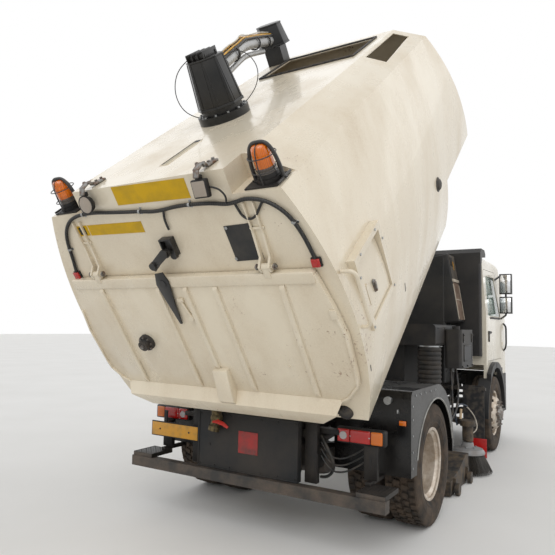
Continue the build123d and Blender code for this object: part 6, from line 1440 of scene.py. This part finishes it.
# Side markers at the ends of the harness: red acrylic caps in black rubber boots
marker_boots = bmesh.new()
markers = bmesh.new()
for right, up in ((-1.005, 1.235), (1.072, 1.248)):
    block(marker_boots, (0.066, 0.064, 0.018), on_rear(right, up, 0.0095), 0.006, 3)
    block(markers, (0.056, 0.054, 0.016), on_rear(right, up, 0.0255), 0.006, 3)
piece("side_marker_boots", marker_boots, moulded_black, "hopper")
piece("rear_side_markers", markers, red_acrylic, "hopper")

# Drain valve below the rear edge of the floor: a galvanised elbow, a brass ball valve dulled by
# dirt, and a red dipped steel tap
tap_red = dusty_coat("red_dipped_tap_handle", "C4261C", "6B4A3C", 0.4, 0.4, 0.05, 0.004, 0.0005)
# Grime in clouds 20 mm across
dull_brass = two_tone(
    "dirty_cast_brass", {"Metallic": 0.8}, ("TexNoise", {"Scale": 45.0, "Detail": 6.0}),
    ("6E6144", "3A342B"), (0.38, 0.7), rough=(0.4, 0.85),
)


def on_hopper(u, y, w):
    """A spot by the hopper's own length, the truck's left and the hopper's own height."""
    spot = hopper_corner + hopper_forward * u + hopper_upright * w + Vector((0, y, 0))
    return turned_place(hopper_forward, Vector((0, 1, 0)), hopper_upright, spot)


valve = bmesh.new()
ball = on_hopper(0.000, 0.25, -0.118)
bar(valve, on_hopper(0.045, 0.25, -0.001), on_hopper(0.045, 0.25, -0.050), 0.036, 28)
bar(valve, on_hopper(0.045, 0.25, -0.044), on_hopper(0.045, 0.25, -0.058), 0.048, 28)
bar(valve, on_hopper(0.045, 0.25, -0.055), ball, 0.031, 24)
bmesh.ops.create_uvsphere(valve, u_segments=24, v_segments=14, radius=0.038, matrix=ball)
bar(valve, ball, on_hopper(-0.040, 0.262, -0.160), 0.030, 8)
bar(valve, on_hopper(-0.036, 0.261, -0.156), on_hopper(-0.056, 0.267, -0.176), 0.036, 24)
swell = on_hopper(0.045, 0.25, 0) @ Matrix.Scale(1.3, 4) @ on_hopper(0.045, 0.25, 0).inverted()
bmesh.ops.transform(valve, matrix=swell, verts=valve.verts)
piece("hopper_drain_cock", valve, dull_brass, "hopper")
tap = bmesh.new()
tap_foot = on_hopper(-0.034, 0.238, -0.112).translation
bar(tap, on_hopper(0.000, 0.246, -0.118), tap_foot, 0.010, 12)
tap_place = turned_place(
    Vector((0.10, -0.99, -0.08)).normalized(), Vector((0.60, 0.0, 0.80)),
    Vector((-0.79, -0.13, 0.60)).normalized(), tap_foot,
)
cut_plate(tap, (
    (-0.016, -0.014), (0.016, -0.014), (0.060, -0.020), (0.100, -0.034), (0.106, -0.020), (0.066, 0.002),
    (0.016, 0.014), (-0.016, 0.014),
), tap_place, 0.005, 0.0015)
bmesh.ops.transform(tap, matrix=swell, verts=tap.verts)
piece("drain_cock_tap", tap, tap_red, "hopper")


# Right side fittings: a black rubber plug, two lifting slits, the hatch's bare steel latch and its
# frame's screws, each set on the skin where a line from outside meets it
def skin_place(node, u, w):
    """The place on the right side of this CAD piece at this length and height, z pointing out."""
    start = on_hopper(u, -1.6, w).translation
    _, spot, normal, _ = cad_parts[node].ray_cast(start, Vector((0, 1, 0)))
    along = hopper_forward - normal * hopper_forward.dot(normal)
    along.normalize()
    return turned_place(along, normal.cross(along), normal, spot)


plug = bmesh.new()
turned(plug, (
    (0.0, 0.030), (0.030, 0.028), (0.046, 0.020), (0.052, 0.008), (0.064, 0.005), (0.066, 0.0005),
    (0.0, 0.0005),
), skin_place("hopper_shell", 2.246, 0.647), 40)
piece("side_rubber_plug", plug, hose_rubber, "hopper")
# The lifting slits are not cut: thin black sheets on the skin are painted shade for their openings
boxed("lifting_slit_shade", moulded_black, "hopper", *(
    ((0.012, length, 0.002), skin_place("hopper_shell", u, w) @ shift(0, 0, 0.0005), 0.0008, 1)
    for u, w, length in ((0.957, 0.428, 0.075), (0.073, 0.417, 0.05))
))
latch_place = skin_place("side_hatch", 0.40, 0.835)
latch = bmesh.new()
block(latch, (0.030, 0.085, 0.010), latch_place @ shift(0, 0, 0.0055), 0.003)
block(latch, (0.018, 0.070, 0.012), latch_place @ shift(0, -0.006, 0.0155) @ tilt(6, "X"), 0.004)
bar(
    latch, latch_place @ Vector((-0.018, 0.030, 0.012)),
    latch_place @ Vector((0.018, 0.030, 0.012)), 0.005, 12,
)
piece("hatch_latch", latch, dull_steel, "side_hatch")
side_screws = bmesh.new()
for u, w in ((0.30, 1.134), (0.60, 1.134), (0.215, 0.64), (0.685, 0.64), (0.215, 1.02), (0.685, 1.02)):
    spot = skin_place("hatch_frame", u, w)
    bar(side_screws, spot, spot @ shift(0, 0, 0.006), 0.009, 6)
piece("hatch_frame_screws", side_screws, zinc, "hopper")

# Beacons: each an amber acrylic cap over a smoked skirt on a black foot, standing on a black
# moulded tray in the notch of the roof's corner
dress(moulded_black, "beacon_pads")
smoked_acrylic = lens_plastic("smoked_acrylic_skirt", "6E655B", 0.35)
beacon_u, beacon_sides, tray_w = 0.205, (-0.86, 0.86), 1.72
beacon_caps = bmesh.new()
beacon_feet = bmesh.new()
beacon_skirts = bmesh.new()
for y in beacon_sides:
    foot = on_hopper(beacon_u, y, 1.7546)
    turned(beacon_feet, (
        (0.0, 0.0), (0.066, 0.0), (0.066, 0.020), (0.060, 0.030), (0.040, 0.036), (0.040, 0.052),
        (0.0, 0.052),
    ), foot, 48)
    turned(beacon_skirts, ((0.061, 0.0285), (0.0645, 0.0285), (0.0625, 0.064), (0.059, 0.064)), foot, 48)
    turned(beacon_caps, (
        (0.0, 0.053), (0.0595, 0.053), (0.0575, 0.110), (0.0545, 0.160), (0.0500, 0.178),
        (0.0410, 0.190), (0.0260, 0.1955), (0.0, 0.196),
    ), foot, 56)
caps = piece("beacon_amber_caps", beacon_caps, amber_acrylic, "hopper", 50)
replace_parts(caps, "beacon_lenses")
piece("beacon_feet", beacon_feet, moulded_black, "hopper")
piece("beacon_skirts", beacon_skirts, smoked_acrylic, "hopper")

# Beacon cages: a thick black tube arched across each beacon, crossed by a thin wire hoop and two
# wire rings, all welded and dipped in black plastic
dipped_wire = dusty_coat("black_dipped_wire", "18181A", "6C655C", 0.4, 0.35, 0.05, 0.004, 0.0003, 0.6)


def hoop(y, along, across, top, radius):
    """An arch over the beacon at this y, half as long and wide as told, on the tray."""
    points = []
    for step in range(19):
        turn = pi * step / 18
        side = cos(turn)
        rise = 0.062 + (top - 0.062) * (1 - abs(side) ** 3.4) ** (1 / 1.9)
        points.append(on_hopper(beacon_u + along * side, y + across * side, tray_w + rise))
    feet = [on_hopper(beacon_u + along * side, y + across * side, 1.731) for side in (1, -1)]
    return (radius, [feet[0], *points, feet[1]])


arches = [hoop(y, 0.0, 0.094, 0.240, 0.0120) for y in beacon_sides]
wires = [hoop(y, 0.086, 0.0, 0.232, 0.0036) for y in beacon_sides]
pipes("beacon_cage_arches", arches, dipped_wire, "hopper", 4)
pipes("beacon_cage_hoops", wires, dipped_wire, "hopper", 4)
cage_rings = bmesh.new()
for y in beacon_sides:
    for height, radius in ((0.080, 0.0875), (0.165, 0.0860)):
        rim = [(radius + out, along) for out, along in around(8, 0.0034)]
        turned(cage_rings, rim, on_hopper(beacon_u, y, tray_w + height), 48)
    tray = on_hopper(beacon_u, y, 1.7311)
    for side in (-1, 1):
        block(cage_rings, (0.030, 0.022, 0.006), tray @ shift(0, side * 0.092, 0.003), 0.002)
        bar(
            cage_rings, tray @ Vector((0.0, side * 0.112, 0.0)),
            tray @ Vector((0.0, side * 0.112, 0.008)), 0.008, 6,
        )
    block(cage_rings, (0.176, 0.012, 0.014), tray @ shift(0, -0.098 if y < 0 else 0.098, 0.0055), 0.003)
piece("beacon_cage_rings", cage_rings, dipped_wire, "hopper")

# Work lamps: a square and a round black housing with a ribbed glass face, hung behind the roof's
# edge from a cranked strap of grey cast steel that is bolted to the roof
lamp_glass = lens_plastic("ribbed_lamp_glass", "C9BBAA", 0.35)
lamp_mounts = bmesh.new()
lamp_cases = bmesh.new()
lamp_faces = bmesh.new()
for right in (-0.49, 0.49):
    strap = on_rear(right, 0, 0)
    for low, high, wide in (
        ((1.893, -0.165), (1.897, -0.060), 0.050),
        ((1.900, -0.075), (1.925, -0.015), 0.044),
        ((1.925, -0.020), (1.908, 0.040), 0.044),
        ((1.912, 0.036), (1.872, 0.062), 0.040),
    ):
        start, end = strap @ Vector((0, *low)), strap @ Vector((0, *high))
        run = end - start
        link = turned_place(
            run.normalized(), rightwards, run.normalized().cross(rightwards), (start + end) / 2,
        )
        block(lamp_mounts, (run.length + 0.012, wide, 0.016), link, 0.005, 3)
    for out in (-0.150, -0.100):
        bar(lamp_mounts, strap @ Vector((0, 1.900, out)), strap @ Vector((0, 1.914, out)), 0.011, 6)
    for side in (-1, 1):
        bar(
            lamp_mounts, strap @ Vector((side * 0.020, 1.925, -0.018)),
            strap @ Vector((side * 0.032, 1.925, -0.018)), 0.013, 6,
        )
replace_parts(piece("work_lamp_straps", lamp_mounts, dull_steel, "hopper"), "work_lamps")
head = on_rear(0.49, 1.800, 0.062) @ tilt(-10, "X")
block(lamp_cases, (0.112, 0.112, 0.040), head @ shift(0, 0, -0.008), 0.010, 3)
block(lamp_cases, (0.080, 0.080, 0.034), head @ shift(0, 0, -0.032), 0.014, 3)
block(lamp_cases, (0.034, 0.030, 0.034), head @ shift(0, 0.066, -0.010), 0.004)
block(lamp_faces, (0.094, 0.094, 0.010), head @ shift(0, 0, 0.0105), 0.005, 2)
head = on_rear(-0.49, 1.800, 0.062) @ tilt(-10, "X")
turned(lamp_cases, (
    (0.0, -0.050), (0.030, -0.046), (0.050, -0.028), (0.060, -0.004), (0.064, 0.012),
    (0.0575, 0.014), (0.0575, 0.006), (0.0, 0.006),
), head, 48)
block(lamp_cases, (0.034, 0.030, 0.034), head @ shift(0, 0.070, -0.010), 0.004)
turned(lamp_faces, (
    (0.0, 0.0065), (0.057, 0.0065), (0.056, 0.0125), (0.030, 0.0160), (0.0, 0.0170),
), head, 48)
piece("work_lamp_cases", lamp_cases, moulded_black, "hopper")
piece("work_lamp_glasses", lamp_faces, lamp_glass, "hopper")
pipes("work_lamp_leads", [(0.006, [on_rear(*spot) for spot in route]) for route in (
    (
        (0.545, 1.80, 0.046), (0.60, 1.79, 0.050), (0.628, 1.74, 0.040), (0.620, 1.70, 0.030),
        (0.600, 1.675, 0.022),
    ),
    ((-0.55, 1.80, 0.040), (-0.60, 1.78, 0.044), (-0.585, 1.745, 0.030), (-0.56, 1.725, 0.022)),
)], conduit, "hopper", 10)

# Boom: a tall eight-sided turning post of glossy black sheet on a bolted ring, a silver-grey tube
# arm that bends down to a second black head on the roof's front, and cables along the arm
roof_forward = (hopper_forward * 3.740 - hopper_upright * 0.080).normalized()
roof_up = Vector((-roof_forward.z, 0, roof_forward.x))


def on_roof(along, y, height):
    """A spot on the roof, forward from its rear edge, at the truck's left and above the skin."""
    spot = hopper_corner + hopper_upright * 1.880 + roof_forward * along + roof_up * height
    spot = spot + Vector((0, y, 0))
    return turned_place(roof_forward, Vector((0, 1, 0)), roof_up, spot)


post_gloss = dusty_coat("gloss_black_post_enamel", "0C0D0D", "5C564E", 0.28, 0.22, 0.3, 0.005, 0.0003, 0.45)
arm_grey = dusty_coat("silver_grey_arm_paint", "B9BABA", "857C70", 0.36, 0.4, 0.12, 0.005, 0.0004)
arm_grey.node_tree.nodes["Principled BSDF"].inputs["Metallic"].default_value = 0.35
dress(post_gloss, "boom_mounts")


def octagons(mesh, at, levels):
    """Eight-sided sheet stages, each from a low to a high level with a foot and a top radius."""
    for low, high, foot_radius, top_radius in levels:
        made = bmesh.ops.create_cone(
            mesh, cap_ends=True, segments=8, radius1=foot_radius, radius2=top_radius, depth=high - low,
            matrix=at @ shift(0, 0, (low + high) / 2) @ tilt(22.5, "Z"),
        )
        ease(mesh, made["verts"], 0.003)


post_along, post_y = 1.350, 0.090
posts = bmesh.new()
post = on_roof(post_along, post_y, 0)
turned(posts, ((0.0, 0.0612), (0.170, 0.0612), (0.170, 0.101), (0.0, 0.101)), post, 64)
octagons(posts, post, (
    (0.101, 0.125, 0.197, 0.194), (0.125, 0.462, 0.190, 0.150), (0.462, 0.474, 0.156, 0.154),
))
for turn in range(8):
    facet = post @ tilt(45 * turn, "Z")
    lean = Matrix.Rotation(-0.110, 4, "Y")
    for across in (-0.048, 0.048):
        block(posts, (0.006, 0.008, 0.330), facet @ shift(0.1575, across, 0.293) @ lean, 0.002)
for y in (-0.075, -0.025, 0.025, 0.075):
    block(posts, (0.20, 0.010, 0.060), post @ shift(-0.02, y, 0.500), 0.003)
for x in (-0.095, 0.055):
    block(posts, (0.012, 0.17, 0.030), post @ shift(x, 0, 0.492), 0.003)
head = on_roof(3.360, 0.560, 0)
octagons(posts, head, (
    (0.190, 0.212, 0.176, 0.174), (0.212, 0.401, 0.170, 0.134), (0.401, 0.416, 0.140, 0.136),
))
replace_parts(piece("boom_posts", posts, post_gloss, "roof_boom"), "roof_boom")


def along_boom(lift, across, ahead=0.0):
    """The arm's line, raised and set sideways by this much."""
    return [on_roof(along, y + across, height + lift) for along, y, height in (
        (1.42 + ahead, 0.12, 0.330), (1.78, 0.17, 0.360), (2.05, 0.21, 0.384), (2.20, 0.245, 0.388),
        (2.42, 0.31, 0.370), (2.90, 0.44, 0.306), (3.36, 0.56, 0.252),
    )]


pipes("boom_arm", [
    (0.048, along_boom(0, 0)), (0.024, along_boom(-0.088, 0.015, 0.06)[:6]),
], arm_grey, "roof_boom", 8)
ring_bolts = bmesh.new()
for turn in range(12):
    angle = radians(30 * turn + 15)
    spot = (post_along + 0.190 * cos(angle), post_y + 0.190 * sin(angle))
    bar(ring_bolts, on_roof(*spot, 0.0603), on_roof(*spot, 0.072), 0.010, 6)
piece("boom_ring_bolts", ring_bolts, zinc, "hopper")
arm_bands = bmesh.new()
for along, y, height, way in (
    (1.62, 0.148, 0.346, 0.140), (1.92, 0.19, 0.374, 0.140),
    (2.62, 0.366, 0.343, 0.280), (3.02, 0.473, 0.288, 0.280),
):
    round_arm = on_roof(along, y, height + 0.006) @ Matrix.Rotation(way, 4, "Z") @ tilt(90, "Y")
    band(arm_bands, 0.056, 0.068, 0.012, round_arm, 24)
piece("boom_cable_bands", arm_bands, nylon, "roof_boom")


def sheathing(name, tint, dust):
    """Extruded cable sheath, dusty in clouds 50 mm long."""
    return two_tone(
        name, {"Roughness": 0.45, "IOR": 1.53},
        ("TexNoise", {"Scale": 20.0, "Detail": 5.0}), (tint, dust), (0.4, 0.85),
    )


yellow_sheath = sheathing("yellow_cable_sheath", "D8A012", "8F7740")
white_sheath = sheathing("white_cable_sheath", "DDD8CC", "9C9282")


def strands(lift, across, wander):
    """A cable that lies along the arm and sags between its bands."""
    line = along_boom(lift, across)
    return [point_of(place) + roof_up * (wander if rank % 2 else 0.0) for rank, place in enumerate(line)]


pipes("boom_yellow_cables", [
    (0.0085, strands(0.057, -0.030, 0.012)), (0.0085, strands(0.064, 0.008, 0.02)),
], yellow_sheath, "roof_boom", 8)
pipes("boom_white_cables", [
    (0.007, strands(0.060, 0.030, 0.008)), (0.006, strands(0.074, -0.010, 0.03)),
], white_sheath, "roof_boom", 8)
pipes("boom_black_cables", [
    (0.0085, strands(0.060, -0.010, 0.004)), (0.009, strands(0.048, 0.046, 0.01)),
    (0.009, strands(0.046, -0.046, 0.006)),
], nylon, "roof_boom", 8)
pipes("boom_loose_wires", [(0.0035, [on_roof(*spot) for spot in route]) for route in (
    (
        (1.22, 0.235, 0.066), (1.16, 0.30, 0.12), (1.14, 0.33, 0.28), (1.20, 0.29, 0.43),
        (1.30, 0.20, 0.50), (1.34, 0.16, 0.505),
    ),
    (
        (1.46, -0.075, 0.066), (1.52, -0.16, 0.12), (1.62, -0.19, 0.26), (1.66, -0.10, 0.40),
        (1.60, 0.02, 0.45), (1.52, 0.08, 0.40),
    ),
)], nylon, "hopper", 10)

# Roof slot: a long slot between the lamps, with raised ivory lips round it. Its floor is painted a
# dusty tan that stands for the ivory in shade, and black strips over it are painted shadow
slot_tan = dusty_coat("shaded_slot_enamel", "B4A98E", "7D7058", 0.5, 0.4, 0.1, 0.005, 0.0003)
slot_along = 0.585
boxed("roof_slot_floor", slot_tan, "hopper", (
    (0.45, 0.060, 0.0012), on_roof(slot_along, 0.0, 0.0008), 0.0003, 1,
))
# Painted shadow: black strips along the slot's side and at its end
boxed(
    "roof_slot_shade", moulded_black, "hopper",
    ((0.43, 0.013, 0.0012), on_roof(slot_along, 0.0235, 0.0016), 0.0003, 1),
    ((0.05, 0.058, 0.0012), on_roof(0.79, 0.0, 0.0018), 0.0003, 1),
)
slot_lips = bmesh.new()
for side in (-1, 1):
    block(slot_lips, (0.46, 0.006, 0.004), on_roof(slot_along, side * 0.033, 0.0018), 0.0015)
    block(slot_lips, (0.006, 0.066, 0.004), on_roof(slot_along + side * 0.228, 0.0, 0.0018), 0.0015)
piece("roof_slot_lips", slot_lips, ivory_enamel, "hopper")

# Roof inlet seal: a black sponge rubber lip round the mouth that meets the suction duct
seal_corners = ((2.652, -0.568), (2.652, 0.448), (3.378, 0.448), (3.378, -0.568))
seal = bmesh.new()
for (along, y), (next_along, next_y) in zip(seal_corners, seal_corners[1:] + seal_corners[:1]):
    bar(seal, on_roof(along, y, 0.009), on_roof(next_along, next_y, 0.009), 0.009, 10)
for along, y in seal_corners:
    bmesh.ops.create_uvsphere(
        seal, u_segments=12, v_segments=8, radius=0.0095, matrix=on_roof(along, y, 0.009),
    )
piece("roof_inlet_seal", seal, hose_rubber, "hopper")

# Tipping cylinders: black barrels, ground and chromed rods
dress(chassis_enamel, "tip_barrel_left", "tip_barrel_right")
dress(chromed, "tip_rod_left", "tip_rod_right")
